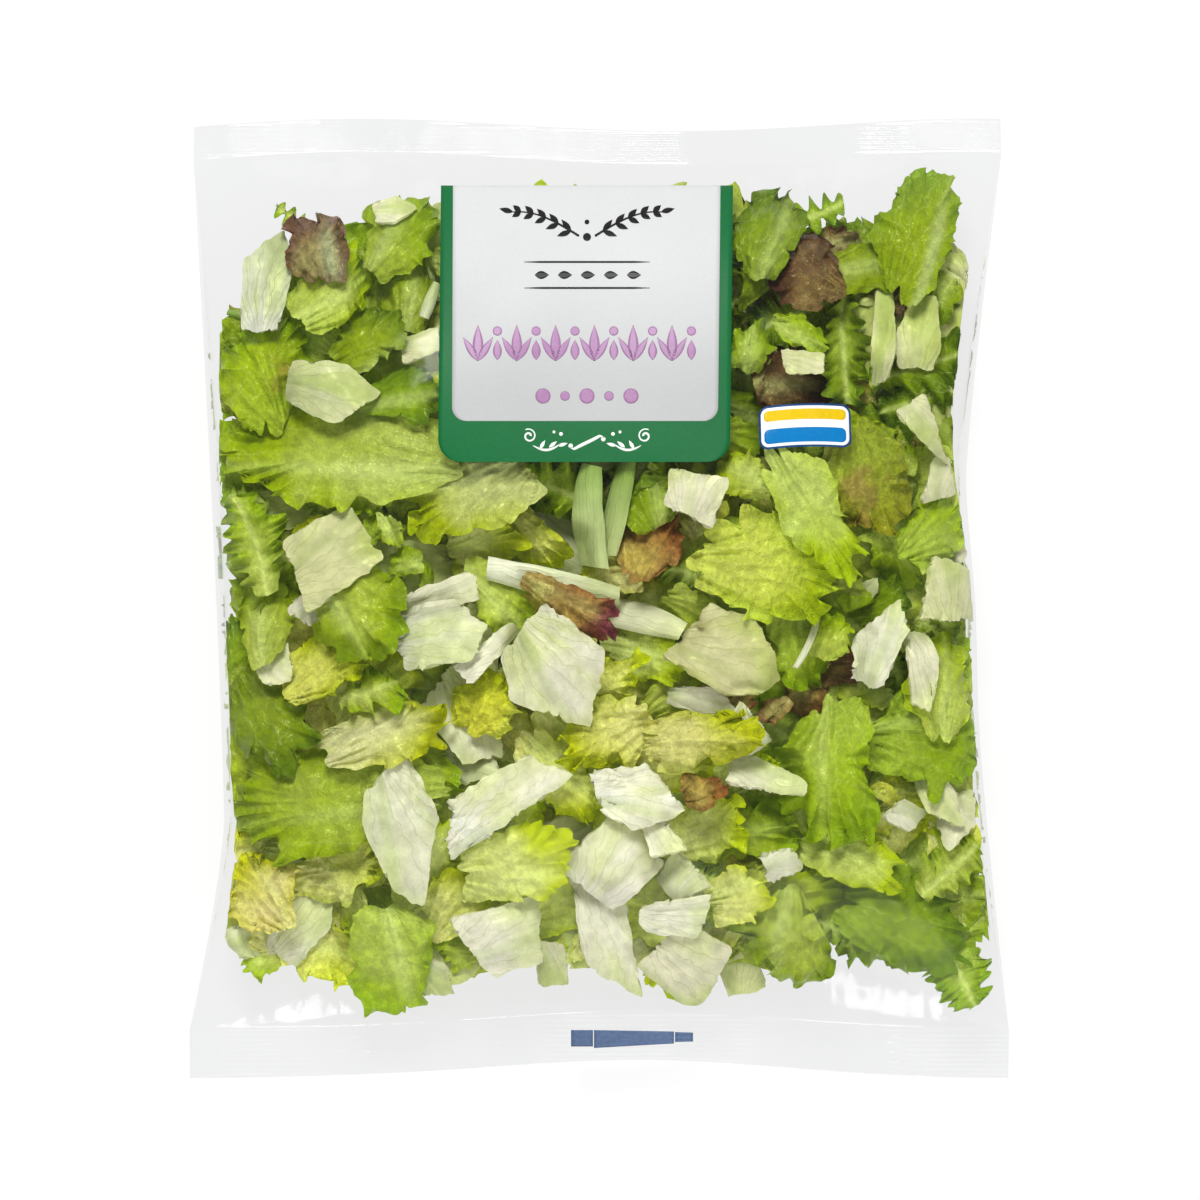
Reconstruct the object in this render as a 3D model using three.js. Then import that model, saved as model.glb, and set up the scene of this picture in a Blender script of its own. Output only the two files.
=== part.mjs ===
// A clear pillow bag of cut salad leaves, lying on its back with the printed side up.
// Millimetres, +Z up. The bag's top (the end above the printed label) points along +Y, its right side along +X.
// The origin is on the resting plane, under the middle of the bag.
//
// The bag is one tube of film, closed by a flat crimped seal at each end. It has no side seams: each
// side is a rounded fold. The leaves fill it out into a pillow, which pulls the sides in at the waist and
// bows both end edges, and the leaf tips push shallow lumps into the film. The underside is pressed flat
// where it rests.
import * as THREE from "three";
import { mergeVertices } from "three/addons/utils/BufferGeometryUtils.js";

// ---- Overall sizes ----
const TOP_END = 144.77; // mean Y of the top edge
const BOTTOM_END = -146.82; // Y of the bottom edge at its corners
const TOP_SEAL = 10.4; // width of the top seal band
const BOTTOM_SEAL = 15.0; // width of the bottom seal band
const TOP_LEFT = 123.9; // half widths at the two seals, left and right of the Y axis
const TOP_RIGHT = 122.7;
const BOTTOM_LEFT = 125.1;
const BOTTOM_RIGHT = 125.1;

// ---- The waist, where filling pulls each side in ----
const LEFT_WAIST_Y = -68; // height of the narrowest place
const LEFT_WAIST = 114.4; // half width there
const RIGHT_WAIST_Y = 36;
const RIGHT_WAIST = 111.7;
const SIDE_BULGE = 1.6; // a leaf that pushes the right side out again below its waist
const SIDE_BULGE_Y = -2;
const SIDE_BULGE_REACH = 18;

// ---- How the end edges bow ----
const TOP_BOW = 2.0;
const TOP_BOW_PERIOD = 182;
const TOP_BOW_SHIFT = 24;
const BOTTOM_BOW = 5.6;
const BOTTOM_BOW_X = 9;
const BOTTOM_BOW_REACH = 44;

// ---- Thickness ----
const FILM_STACK = 1.0; // both films with their crimp ridges, as one solid band
const MID_Z = 21; // height of the side folds above the table
const SEAL_Z = 17; // height of the inner seal lines
const EDGE_Z = 14; // height of the outer edges, which droop a little
const SEAL_WAVE = 1.6; // the seals are gently wavy
const CROWN = 34; // from the side folds' height up to the middle of the top
const BELLY = 29; // the same downwards, if the table didn't flatten it
const LUMP = 2.2; // how far a leaf tip lifts the film
const LUMP_COUNT = 44;

// ---- Mesh density ----
const ACROSS = 40;
const ALONG = 44;
const SEAL_ROWS = 2;

// How far a side is pulled in at y, 0 at both seals and depth at the waist.
function pulledIn(y, waistY, fromTop, fromBottom, easeTop, easeBottom) {
  const top = TOP_END - TOP_SEAL;
  const bottom = BOTTOM_END + BOTTOM_SEAL;
  if (y >= waistY) {
    const t = Math.min(1, Math.max(0, (top - y) / (top - waistY)));
    return fromTop * (1 - Math.pow(1 - t, easeTop));
  }
  const t = Math.min(1, Math.max(0, (y - bottom) / (waistY - bottom)));
  return fromBottom * (1 - Math.pow(1 - t, easeBottom));
}

function leftEdge(y) {
  const seal = y >= LEFT_WAIST_Y ? TOP_LEFT : BOTTOM_LEFT;
  return -(
    seal -
    pulledIn(y, LEFT_WAIST_Y, TOP_LEFT - LEFT_WAIST, BOTTOM_LEFT - LEFT_WAIST, 1.25, 1.33)
  );
}

function rightEdge(y) {
  const seal = y >= RIGHT_WAIST_Y ? TOP_RIGHT : BOTTOM_RIGHT;
  const bulge = SIDE_BULGE * Math.exp(-Math.pow((y - SIDE_BULGE_Y) / SIDE_BULGE_REACH, 2) / 2);
  return (
    seal -
    pulledIn(y, RIGHT_WAIST_Y, TOP_RIGHT - RIGHT_WAIST, BOTTOM_RIGHT - RIGHT_WAIST, 1.2, 1.5) +
    bulge
  );
}

function topEdge(x) {
  return TOP_END - TOP_BOW * Math.sin((2 * Math.PI * (x + TOP_BOW_SHIFT)) / TOP_BOW_PERIOD);
}

function bottomEdge(x) {
  return BOTTOM_END + BOTTOM_BOW * Math.exp(-Math.pow((x - BOTTOM_BOW_X) / BOTTOM_BOW_REACH, 2) / 2);
}

// Leaf tips under the film: low bumps spread evenly but not in rows.
function lumps(x, y) {
  let sum = 0;
  for (let k = 1; k <= LUMP_COUNT; k++) {
    const cx = (((k * 0.7548776662) % 1) - 0.5) * 224;
    const cy = (((k * 0.5698402910) % 1) - 0.5) * 236;
    const reach = 11 + 6 * ((k * 0.6180339887) % 1);
    const height = LUMP * (0.55 + 0.45 * Math.sin(k * 2.4));
    const d2 = (x - cx) * (x - cx) + (y - cy) * (y - cy);
    sum += height * Math.exp(-d2 / (2 * reach * reach));
  }
  return sum;
}

// How full the bag is, from 0 at a seal or a side fold to 1 in the middle.
function fullness(across, along) {
  const a = Math.pow(Math.max(0, 1 - Math.pow(Math.abs(across), 2.4)), 0.46);
  const l = Math.pow(Math.max(0, 1 - Math.pow(Math.abs(along), 2.6)), 0.8);
  return a * l;
}

// Height of the mid surface, which the side folds and the seals lie on.
function midHeight(x, along, past) {
  const end = Math.pow(Math.abs(along), 4);
  const wave =
    SEAL_WAVE * Math.sin((x / 62) * Math.PI + (along > 0 ? 0.6 : 2.4)) * (end + 0.5 * past);
  return MID_Z + (SEAL_Z - MID_Z) * end + (EDGE_Z - SEAL_Z) * past + wave;
}

// Maps a point of the unit block (u across, v along, w = +1 on the top side, -1 on the underside) to the bag.
function bagPoint(u, v, w) {
  const across = 0.72 * Math.sin((Math.PI / 2) * u) + 0.28 * u;
  const row = Math.round(((v + 1) / 2) * ALONG);
  let along;
  let past = 0; // 0 inside the pillow, up to 1 at an outer edge
  if (row <= SEAL_ROWS) {
    along = -1;
    past = (SEAL_ROWS - row) / SEAL_ROWS;
  } else if (row >= ALONG - SEAL_ROWS) {
    along = 1;
    past = (row - (ALONG - SEAL_ROWS)) / SEAL_ROWS;
  } else {
    const q = (row - SEAL_ROWS) / (ALONG - 2 * SEAL_ROWS);
    const eased = 0.5 - 0.5 * Math.cos(Math.PI * q);
    along = 2 * (0.45 * eased + 0.55 * q) - 1;
  }
  const place = (x) => {
    const top = topEdge(x) - TOP_SEAL;
    const bottom = bottomEdge(x) + BOTTOM_SEAL;
    if (along >= 1) return top + past * TOP_SEAL;
    if (along <= -1) return bottom - past * BOTTOM_SEAL;
    return bottom + ((along + 1) / 2) * (top - bottom);
  };
  let x = across * TOP_LEFT;
  let y = place(x);
  for (let i = 0; i < 3; i++) {
    const l = leftEdge(y);
    x = l + ((across + 1) / 2) * (rightEdge(y) - l);
    y = place(x);
  }
  const f = fullness(across, along);
  const mid = midHeight(x, along, past);
  const z =
    w > 0
      ? mid + FILM_STACK / 2 + CROWN * f + lumps(x, y) * Math.min(1, 2.2 * f)
      : Math.max(0, mid - FILM_STACK / 2 - BELLY * f);
  return [x, y, z];
}

function bagGeometry() {
  const block = new THREE.BoxGeometry(2, 2, 2, ACROSS, ALONG, 1);
  block.deleteAttribute("normal");
  block.deleteAttribute("uv");
  const solid = mergeVertices(block, 1e-4);
  const p = solid.attributes.position;
  for (let i = 0; i < p.count; i++) {
    p.setXYZ(i, ...bagPoint(p.getX(i), p.getY(i), p.getZ(i)));
  }
  solid.computeVertexNormals();
  return solid;
}

const clearFilmOverLeaves = new THREE.MeshStandardMaterial({
  color: new THREE.Color(0.62, 0.74, 0.36),
  roughness: 0.25,
  metalness: 0.0,
});

const bag = new THREE.Mesh(bagGeometry(), clearFilmOverLeaves);
bag.name = "salad_bag";

const group = new THREE.Group();
group.add(bag);

export default group;
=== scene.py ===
import math

import bpy
import numpy as np
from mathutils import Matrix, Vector


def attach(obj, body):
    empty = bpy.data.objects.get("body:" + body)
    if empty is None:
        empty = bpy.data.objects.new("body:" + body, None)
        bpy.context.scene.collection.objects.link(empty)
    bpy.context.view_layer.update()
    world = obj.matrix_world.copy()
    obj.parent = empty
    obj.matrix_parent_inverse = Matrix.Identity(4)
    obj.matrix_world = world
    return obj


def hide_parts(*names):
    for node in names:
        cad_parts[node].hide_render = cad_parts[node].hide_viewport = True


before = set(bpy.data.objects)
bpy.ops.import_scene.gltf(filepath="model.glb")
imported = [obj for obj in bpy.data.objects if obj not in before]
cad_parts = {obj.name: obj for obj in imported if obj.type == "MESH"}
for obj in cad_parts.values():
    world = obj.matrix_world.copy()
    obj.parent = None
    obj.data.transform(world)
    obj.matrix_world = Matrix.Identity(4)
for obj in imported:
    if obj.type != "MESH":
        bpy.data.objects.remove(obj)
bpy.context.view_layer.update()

# ---------------------------------------------------------------- the bag's form, as in the construction
TOP_END, BOTTOM_END, TOP_SEAL, BOTTOM_SEAL = 144.77, -146.82, 10.4, 15.0
TOP_LEFT, TOP_RIGHT, BOTTOM_LEFT, BOTTOM_RIGHT = 123.9, 122.7, 125.1, 125.1
LEFT_WAIST_Y, LEFT_WAIST, RIGHT_WAIST_Y, RIGHT_WAIST = -68.0, 114.4, 36.0, 111.7
SIDE_BULGE, SIDE_BULGE_Y, SIDE_BULGE_REACH = 1.6, -2.0, 18.0
TOP_BOW, TOP_BOW_PERIOD, TOP_BOW_SHIFT = 2.0, 182.0, 24.0
BOTTOM_BOW, BOTTOM_BOW_X, BOTTOM_BOW_REACH = 5.6, 9.0, 44.0
MID_Z, SEAL_Z, EDGE_Z, SEAL_WAVE = 21.0, 17.0, 14.0, 1.6
CROWN, BELLY, LUMP, LUMP_COUNT = 34.0, 29.0, 2.2, 44
FILM_HALF = 0.12  # half the gap between the two films where they lie on each other


def pulled_in(y, waist_y, from_top, from_bottom, ease_top, ease_bottom):
    top, bottom = TOP_END - TOP_SEAL, BOTTOM_END + BOTTOM_SEAL
    up = np.clip((top - y) / (top - waist_y), 0, 1)
    down = np.clip((y - bottom) / (waist_y - bottom), 0, 1)
    return np.where(
        y >= waist_y,
        from_top * (1 - (1 - up) ** ease_top),
        from_bottom * (1 - (1 - down) ** ease_bottom),
    )


def left_edge(y):
    seal = np.where(y >= LEFT_WAIST_Y, TOP_LEFT, BOTTOM_LEFT)
    return -(seal - pulled_in(y, LEFT_WAIST_Y, TOP_LEFT - LEFT_WAIST, BOTTOM_LEFT - LEFT_WAIST, 1.25, 1.33))


def right_edge(y):
    seal = np.where(y >= RIGHT_WAIST_Y, TOP_RIGHT, BOTTOM_RIGHT)
    bulge = SIDE_BULGE * np.exp(-(((y - SIDE_BULGE_Y) / SIDE_BULGE_REACH) ** 2) / 2)
    return seal - pulled_in(y, RIGHT_WAIST_Y, TOP_RIGHT - RIGHT_WAIST, BOTTOM_RIGHT - RIGHT_WAIST, 1.2, 1.5) + bulge


def top_edge(x):
    return TOP_END - TOP_BOW * np.sin(2 * np.pi * (x + TOP_BOW_SHIFT) / TOP_BOW_PERIOD)


def bottom_edge(x):
    return BOTTOM_END + BOTTOM_BOW * np.exp(-(((x - BOTTOM_BOW_X) / BOTTOM_BOW_REACH) ** 2) / 2)


def lumps(x, y):
    total = np.zeros_like(x)
    for k in range(1, LUMP_COUNT + 1):
        cx = ((k * 0.7548776662) % 1 - 0.5) * 224
        cy = ((k * 0.5698402910) % 1 - 0.5) * 236
        reach = 11 + 6 * ((k * 0.6180339887) % 1)
        height = LUMP * (0.55 + 0.45 * math.sin(k * 2.4))
        total += height * np.exp(-((x - cx) ** 2 + (y - cy) ** 2) / (2 * reach * reach))
    return total


# ---------------------------------------------------------------- smooth noise on a seeded table
TABLE = np.random.RandomState(11).rand(256, 256)


def noise(x, y, seed=0.0):
    """Smooth noise from -1 to 1, one bump for each unit."""
    x = np.asarray(x, float) + seed * 17.31
    y = np.asarray(y, float) + seed * 9.77
    xi, yi = np.floor(x).astype(int), np.floor(y).astype(int)
    fx, fy = x - xi, y - yi
    fx, fy = fx * fx * (3 - 2 * fx), fy * fy * (3 - 2 * fy)
    a, b = TABLE[xi & 255, yi & 255], TABLE[(xi + 1) & 255, yi & 255]
    c, d = TABLE[xi & 255, (yi + 1) & 255], TABLE[(xi + 1) & 255, (yi + 1) & 255]
    return ((a * (1 - fx) + b * fx) * (1 - fy) + (c * (1 - fx) + d * fx) * fy) * 2 - 1


def smooth(t):
    t = np.clip(t, 0, 1)
    return t * t * (3 - 2 * t)


# ---------------------------------------------------------------- creases in the film
CREASES = []
_r = np.random.RandomState(5)
for end in (1, -1):
    for k in range(30):
        CREASES.append(
            dict(
                end=end,
                x=-116 + 232 * (k + 0.5 + 0.36 * (_r.rand() * 2 - 1)) / 30,
                lean=0.34 * (_r.rand() * 2 - 1),
                width=1.0 + 1.5 * _r.rand(),
                reach=7 + 15 * _r.rand() ** 2,
                height=(0.34 + 0.5 * _r.rand()) * (1 if _r.rand() > 0.4 else -1),
            )
        )
# Single creases across the pillow: start, end (mm), width, height.
LONG_CREASES = [
    ((-99.6, 119.5), (-99.0, 108.0), 0.5, 0.5),
    ((76.0, -83.0), (107.5, -104.5), 0.8, 0.75),
    ((70.0, -90.0), (92.0, -112.0), 0.9, 0.45),
    ((-96.0, -96.0), (-60.0, -113.0), 1.1, 0.45),
    ((-20.0, -108.0), (22.0, -116.0), 1.0, 0.4),
    ((92.0, 96.0), (103.0, 62.0), 0.9, 0.5),
    ((-108.0, 40.0), (-100.0, 4.0), 1.0, 0.5),
    ((103.0, 18.0), (107.0, -38.0), 1.0, 0.5),
    ((-58.0, 112.0), (-40.0, 98.0), 0.9, 0.4),
    ((66.0, 118.0), (84.0, 104.0), 0.9, 0.4),
]


def wrinkles(x, y, side):
    """How far small creases lift the film, in mm. side is +1 on top, -1 underneath."""
    top = top_edge(x) - TOP_SEAL
    bottom = bottom_edge(x) + BOTTOM_SEAL
    total = np.zeros_like(x)
    for c in CREASES:
        d = (top - y) if c["end"] > 0 else (y - bottom)
        inside = d > 0
        d = np.maximum(d, 0)
        flip = 1 if side > 0 else -1
        line = x - flip * c["x"] - c["lean"] * d
        w = c["width"] * (1 + d / 22)
        total += np.where(inside, c["height"] * np.exp(-((line / w) ** 2)) * np.exp(-d / c["reach"]) * smooth(d / 3), 0)
    if side > 0:
        for (ax, ay), (bx, by), w, h in LONG_CREASES:
            dx, dy = bx - ax, by - ay
            ln = math.hypot(dx, dy)
            t = ((x - ax) * dx + (y - ay) * dy) / (ln * ln)
            off = ((x - ax) * dy - (y - ay) * dx) / ln + 1.2 * np.sin(3 * t)
            total += h * np.exp(-((off / w) ** 2)) * smooth(t * 3 + 0.5) * smooth((1 - t) * 3 + 0.5) * (np.abs(t - 0.5) < 0.75)
    total += 0.20 * noise(x / 9, y / 9, side * 3 + 4) + 0.09 * noise(x / 3.6, y / 3.6, side * 5 + 8)
    if side > 0:  # the printed panel is stiffer than the bare film
        panel = smooth((47 - np.abs(x + 3.5)) / 5) * smooth((y - 38) / 6)
        total = total * (1 - 0.85 * panel)
    return total


def film(x, y, side, creased=True):
    """Height of the film at x, y in mm, on top (side 1) or underneath (side -1)."""
    x, y = np.asarray(x, float), np.asarray(y, float)
    top, bottom = top_edge(x) - TOP_SEAL, bottom_edge(x) + BOTTOM_SEAL
    along = np.clip((y - bottom) / (top - bottom) * 2 - 1, -1, 1)
    past = np.where(y > top, (y - top) / TOP_SEAL, np.where(y < bottom, (bottom - y) / BOTTOM_SEAL, 0))
    past = np.clip(past, 0, 1)
    left, right = left_edge(y), right_edge(y)
    across = np.clip((x - left) / (right - left) * 2 - 1, -1, 1)
    f = np.maximum(0, 1 - np.abs(across) ** 2.4) ** 0.46 * np.maximum(0, 1 - np.abs(along) ** 2.6) ** 0.8
    end = np.abs(along) ** 4
    phase = np.where(along > 0, 0.6, 2.4)
    wave = SEAL_WAVE * np.sin(x / 62 * np.pi + phase) * (end + 0.5 * past)
    mid = MID_Z + (SEAL_Z - MID_Z) * end + (EDGE_Z - SEAL_Z) * past + wave
    ridge = 0.0
    if creased:
        fade = smooth(past * 6) * smooth((1 - past) * 8)
        ridge = fade * (0.16 * np.sin(2 * np.pi * y / 1.5) + 0.05 * np.sin(2 * np.pi * x / 2.1) * np.sin(2 * np.pi * y / 1.5))
        ridge = ridge + (1 - fade) * 0.2 * noise(x / 14, y / 14, 2) * np.minimum(1, past * 4)
    if side > 0:
        z = mid + FILM_HALF + CROWN * f + lumps(x, y) * np.minimum(1, 2.2 * f)
        if creased:
            z = z + wrinkles(x, y, 1) * np.minimum(1, 4 * f + 0.0)
    else:
        z = np.maximum(0.0, mid - FILM_HALF - BELLY * f)
        if creased:
            z = np.maximum(0.0, z - np.abs(wrinkles(x, y, -1)) * np.minimum(1, 4 * f) * (z > 0.4))
    return z + ridge


# ---------------------------------------------------------------- photo pixels to millimetres
CAMERA_HEIGHT = 2000.0
PIXEL = 0.305
CENTRE_X, CENTRE_Y = 599.2, 598.3


def spot(px, py, z=None):
    """The point on the film's top (or at height z) that a pixel of the 1200 x 1200 view looks at."""
    px, py = np.asarray(px, float), np.asarray(py, float)
    flat_x, flat_y = (px - CENTRE_X) * PIXEL, (CENTRE_Y - py) * PIXEL
    x, y = flat_x, flat_y
    for _ in range(3):
        h = film(x, y, 1, False) if z is None else z
        k = (CAMERA_HEIGHT - h) / (CAMERA_HEIGHT - MID_Z)
        x, y = flat_x * k, flat_y * k
    return x, y


# ---------------------------------------------------------------- meshes
def linear(rgb):
    c = np.asarray(rgb, float) / 255.0
    return np.where(c <= 0.04045, c / 12.92, ((c + 0.055) / 1.055) ** 2.4)


def shell_faces(nu, nv, start):
    """Quads of a closed shell over a grid of (nu+1) x (nv+1) points: the top side's points first, then the underside's."""
    idx = np.arange((nu + 1) * (nv + 1)).reshape(nu + 1, nv + 1) + start
    off = (nu + 1) * (nv + 1)
    a, b, c, d = idx[:-1, :-1], idx[1:, :-1], idx[1:, 1:], idx[:-1, 1:]
    top = np.stack([a, b, c, d], -1).reshape(-1, 4)
    bot = np.stack([a, d, c, b], -1).reshape(-1, 4) + off
    ring = np.concatenate([idx[:-1, 0], idx[-1, :-1], idx[:0:-1, -1], idx[0, :0:-1]])
    nxt = np.roll(ring, -1)
    rim = np.stack([ring, ring + off, nxt + off, nxt], -1)
    return np.concatenate([top, bot, rim]), ring, ring + off


class Piece:
    """Collects shells into one mesh."""

    def __init__(self, name):
        self.name = name
        self.v, self.f, self.attr, self.edge = [], [], {}, []
        self.count = 0
        self.faces = 0

    def add_shell(self, top, bot, attrs=None, sharp=False):
        nu, nv = top.shape[0] - 1, top.shape[1] - 1
        faces, r1, r2 = shell_faces(nu, nv, self.count)
        n = (nu + 1) * (nv + 1)
        self.v += [top.reshape(n, 3), bot.reshape(n, 3)]
        flag = np.zeros(2 * n, int)
        if sharp:
            flag[r1 - self.count] = 1
            flag[r2 - self.count] = 2
        self.edge.append(flag)
        for key, value in (attrs or {}).items():
            flat = value.reshape(n, -1)
            self.attr.setdefault(key, []).extend([flat, flat])
        self.f.append(faces)
        self.count += 2 * n
        self.faces += len(faces)

    def add_sheet(self, points, attrs=None):
        """A thin leaf: one curved sheet."""
        nu, nv = points.shape[0] - 1, points.shape[1] - 1
        n = (nu + 1) * (nv + 1)
        idx = np.arange(n).reshape(nu + 1, nv + 1) + self.count
        a, b, c, d = idx[:-1, :-1], idx[1:, :-1], idx[1:, 1:], idx[:-1, 1:]
        self.f.append(np.stack([a, b, c, d], -1).reshape(-1, 4))
        self.v.append(points.reshape(n, 3))
        self.edge.append(np.zeros(n, int))
        for key, value in (attrs or {}).items():
            self.attr.setdefault(key, []).append(value.reshape(n, -1))
        self.count += n
        self.faces += nu * nv

    def build(self, material, smooth_shade=True):
        v = np.concatenate(self.v) * 0.001
        f = np.concatenate(self.f)
        mesh = bpy.data.meshes.new(self.name)
        mesh.vertices.add(len(v))
        mesh.vertices.foreach_set("co", v.astype(np.float32).ravel())
        mesh.loops.add(f.size)
        mesh.loops.foreach_set("vertex_index", f.astype(np.int32).ravel())
        mesh.polygons.add(len(f))
        mesh.polygons.foreach_set("loop_start", (np.arange(len(f)) * 4).astype(np.int32))
        mesh.polygons.foreach_set("use_smooth", np.full(len(f), smooth_shade))
        mesh.update(calc_edges=True)
        for key, parts in self.attr.items():
            data = np.concatenate(parts)
            if key == "Col":
                layer = mesh.color_attributes.new("Col", "FLOAT_COLOR", "POINT")
                layer.data.foreach_set("color", np.c_[data, np.ones(len(data))].astype(np.float32).ravel())
            else:
                layer = mesh.attributes.new(key, "FLOAT_VECTOR", "POINT")
                layer.data.foreach_set("vector", data.astype(np.float32).ravel())
        flag = np.concatenate(self.edge)
        if flag.any():
            e = np.zeros(len(mesh.edges) * 2, np.int32)
            mesh.edges.foreach_get("vertices", e)
            e = e.reshape(-1, 2)
            sharp = (flag[e[:, 0]] > 0) & (flag[e[:, 0]] == flag[e[:, 1]])
            layer = mesh.attributes.get("sharp_edge") or mesh.attributes.new("sharp_edge", "BOOLEAN", "EDGE")
            layer.data.foreach_set("value", sharp)
        mesh.validate()
        mesh.materials.append(material)
        obj = bpy.data.objects.new(self.name, mesh)
        bpy.context.scene.collection.objects.link(obj)
        return obj


# ---------------------------------------------------------------- materials
class Nodes:
    def __init__(self, name):
        self.mat = bpy.data.materials.new(name)
        self.mat.use_nodes = True
        self.tree = self.mat.node_tree
        self.tree.nodes.clear()
        self.out = self.tree.nodes.new("ShaderNodeOutputMaterial")

    def new(self, kind, **props):
        node = self.tree.nodes.new(kind)
        for key, value in props.items():
            setattr(node, key, value)
        return node

    def link(self, a, b):
        self.tree.links.new(a, b)

    def put(self, socket, value):
        if hasattr(value, "is_linked") or isinstance(value, bpy.types.NodeSocket):
            self.link(value, socket)
        else:
            socket.default_value = value

    def math(self, op, a, b=None, c=None, clamp=False):
        node = self.new("ShaderNodeMath", operation=op, use_clamp=clamp)
        for i, value in enumerate((a, b, c)):
            if value is not None:
                self.put(node.inputs[i], value)
        return node.outputs[0]

    def ramp(self, value, a, b, c=0.0, d=1.0, kind="SMOOTHSTEP"):
        node = self.new("ShaderNodeMapRange", interpolation_type=kind)
        self.put(node.inputs[0], value)
        for i, v in zip((1, 2, 3, 4), (a, b, c, d)):
            self.put(node.inputs[i], v)
        return node.outputs[0]

    def mix(self, fac, a, b, blend="MIX"):
        node = self.new("ShaderNodeMix", data_type="RGBA", blend_type=blend)
        self.put(node.inputs[0], fac)
        self.put(node.inputs[6], a)
        self.put(node.inputs[7], b)
        return node.outputs[2]

    def noise(self, vector, scale, detail=2.0, rough=0.5, distortion=0.0, flat=False):
        node = self.new("ShaderNodeTexNoise")
        if flat:
            node.noise_dimensions = "2D"
        self.link(vector, node.inputs["Vector"])
        node.inputs["Scale"].default_value = scale
        node.inputs["Detail"].default_value = detail
        node.inputs["Roughness"].default_value = rough
        node.inputs["Distortion"].default_value = distortion
        return node

    def attribute(self, name):
        node = self.new("ShaderNodeAttribute", attribute_name=name)
        return node


def leaf_material(name, rough=0.34, through=0.20, vein_tint=(1, 1, 0.8), vein_mix=0.65, cell=3.6, blister=0.55,
                  vein_bump=0.30, fine=0.35, mottle_and_hollow_shade=0.16, specular=0.3, grain=0.07):
    """Moist leaf: colour from the Col attribute, veins from vn (phase, distance to the midrib, strength),
    blisters from lc (place on the leaf in mm, blister strength)."""
    m = Nodes(name)
    col = m.attribute("Col").outputs["Color"]
    vn = m.new("ShaderNodeSeparateXYZ")
    m.link(m.attribute("vn").outputs["Vector"], vn.inputs[0])
    lc_attr = m.attribute("lc").outputs["Vector"]
    lc = m.new("ShaderNodeSeparateXYZ")
    m.link(lc_attr, lc.inputs[0])
    place = m.new("ShaderNodeCombineXYZ")
    m.link(lc.outputs[0], place.inputs[0])
    m.link(lc.outputs[1], place.inputs[1])
    place = place.outputs[0]

    warp = m.noise(place, 0.20, 1.0, flat=True)
    fine_n = m.noise(place, 1.5, 2.0, 0.6, flat=True)

    # veins: lines wherever the phase is a whole number
    phase = m.math("ADD", vn.outputs[0], m.math("MULTIPLY", m.math("SUBTRACT", warp.outputs["Fac"], 0.5), 0.9))
    tri = m.math("MULTIPLY", m.math("ABSOLUTE", m.math("SUBTRACT", m.math("FRACT", phase), 0.5)), 2.0)
    line = m.ramp(tri, 0.84, 0.98)
    # second, thinner set that runs across between them
    saw2 = m.math("FRACT", m.math("ADD", m.math("MULTIPLY", phase, 1.7), m.math("MULTIPLY", lc.outputs[1], 0.21)))
    tri2 = m.math("MULTIPLY", m.math("ABSOLUTE", m.math("SUBTRACT", saw2, 0.5)), 2.0)
    line2 = m.math("MULTIPLY", m.ramp(tri2, 0.88, 0.99), 0.5)
    rib = m.ramp(m.math("ABSOLUTE", vn.outputs[1]), 0.25, 1.3, 1.0, 0.0)
    vein = m.math("MAXIMUM", m.math("MAXIMUM", line, line2), rib)
    vein = m.math("MULTIPLY", vein, vn.outputs[2])

    # small swellings between the veins
    puckers = m.noise(place, 1.0 / cell, 2.0, 0.6 if fine > 0.1 else 0.3, flat=True)
    cells = m.ramp(puckers.outputs["Fac"], 0.30, 0.70)

    tint = m.mix(1.0, col, (*vein_tint, 1.0), "MULTIPLY")
    lightened = m.mix(0.42, tint, (*linear((226, 241, 132)), 1.0)) if vein_tint[0] >= 1 else tint
    colour = m.mix(m.math("MULTIPLY", vein, vein_mix), col, lightened)
    # colour follows the puckers, lighter on their swellings and darker in their hollows: partly the leaf's own
    # mottling, partly painted shade in the hollows
    shade = m.ramp(puckers.outputs["Fac"], 0.30, 0.70, 1.0 - mottle_and_hollow_shade, 1.0 + mottle_and_hollow_shade * 0.7)
    speck = m.ramp(fine_n.outputs["Fac"], 0.3, 0.7, 1.0 - grain, 1.0 + grain)
    shade = m.math("MULTIPLY", shade, speck)
    grey = m.new("ShaderNodeCombineColor")
    for i in range(3):
        m.link(shade, grey.inputs[i])
    colour = m.mix(1.0, colour, grey.outputs[0], "MULTIPLY")

    height = m.math("MULTIPLY", m.math("MULTIPLY", cells, lc.outputs[2]), blister)
    height = m.math("ADD", height, m.math("MULTIPLY", vein, vein_bump))
    bump = m.new("ShaderNodeBump")
    bump.inputs["Strength"].default_value = 0.6
    bump.inputs["Distance"].default_value = 0.0008
    m.link(height, bump.inputs["Height"])

    rough_v = m.ramp(puckers.outputs["Fac"], 0.3, 0.7, rough + 0.10, rough - 0.06)
    body = m.new("ShaderNodeBsdfPrincipled")
    m.link(colour, body.inputs["Base Color"])
    m.link(rough_v, body.inputs["Roughness"])
    body.inputs["Specular IOR Level"].default_value = specular
    body.inputs["Specular Tint"].default_value = (0.97, 1.0, 0.45, 1.0)
    m.link(bump.outputs[0], body.inputs["Normal"])
    glow = m.new("ShaderNodeBsdfTranslucent")
    warm = m.mix(1.0, colour, (*linear((250, 255, 190)), 1.0), "MULTIPLY")
    m.link(warm, glow.inputs["Color"])
    m.link(bump.outputs[0], glow.inputs["Normal"])
    both = m.new("ShaderNodeMixShader")
    both.inputs[0].default_value = through
    m.link(body.outputs[0], both.inputs[1])
    m.link(glow.outputs[0], both.inputs[2])
    m.link(both.outputs[0], m.out.inputs["Surface"])
    return m.mat


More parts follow.
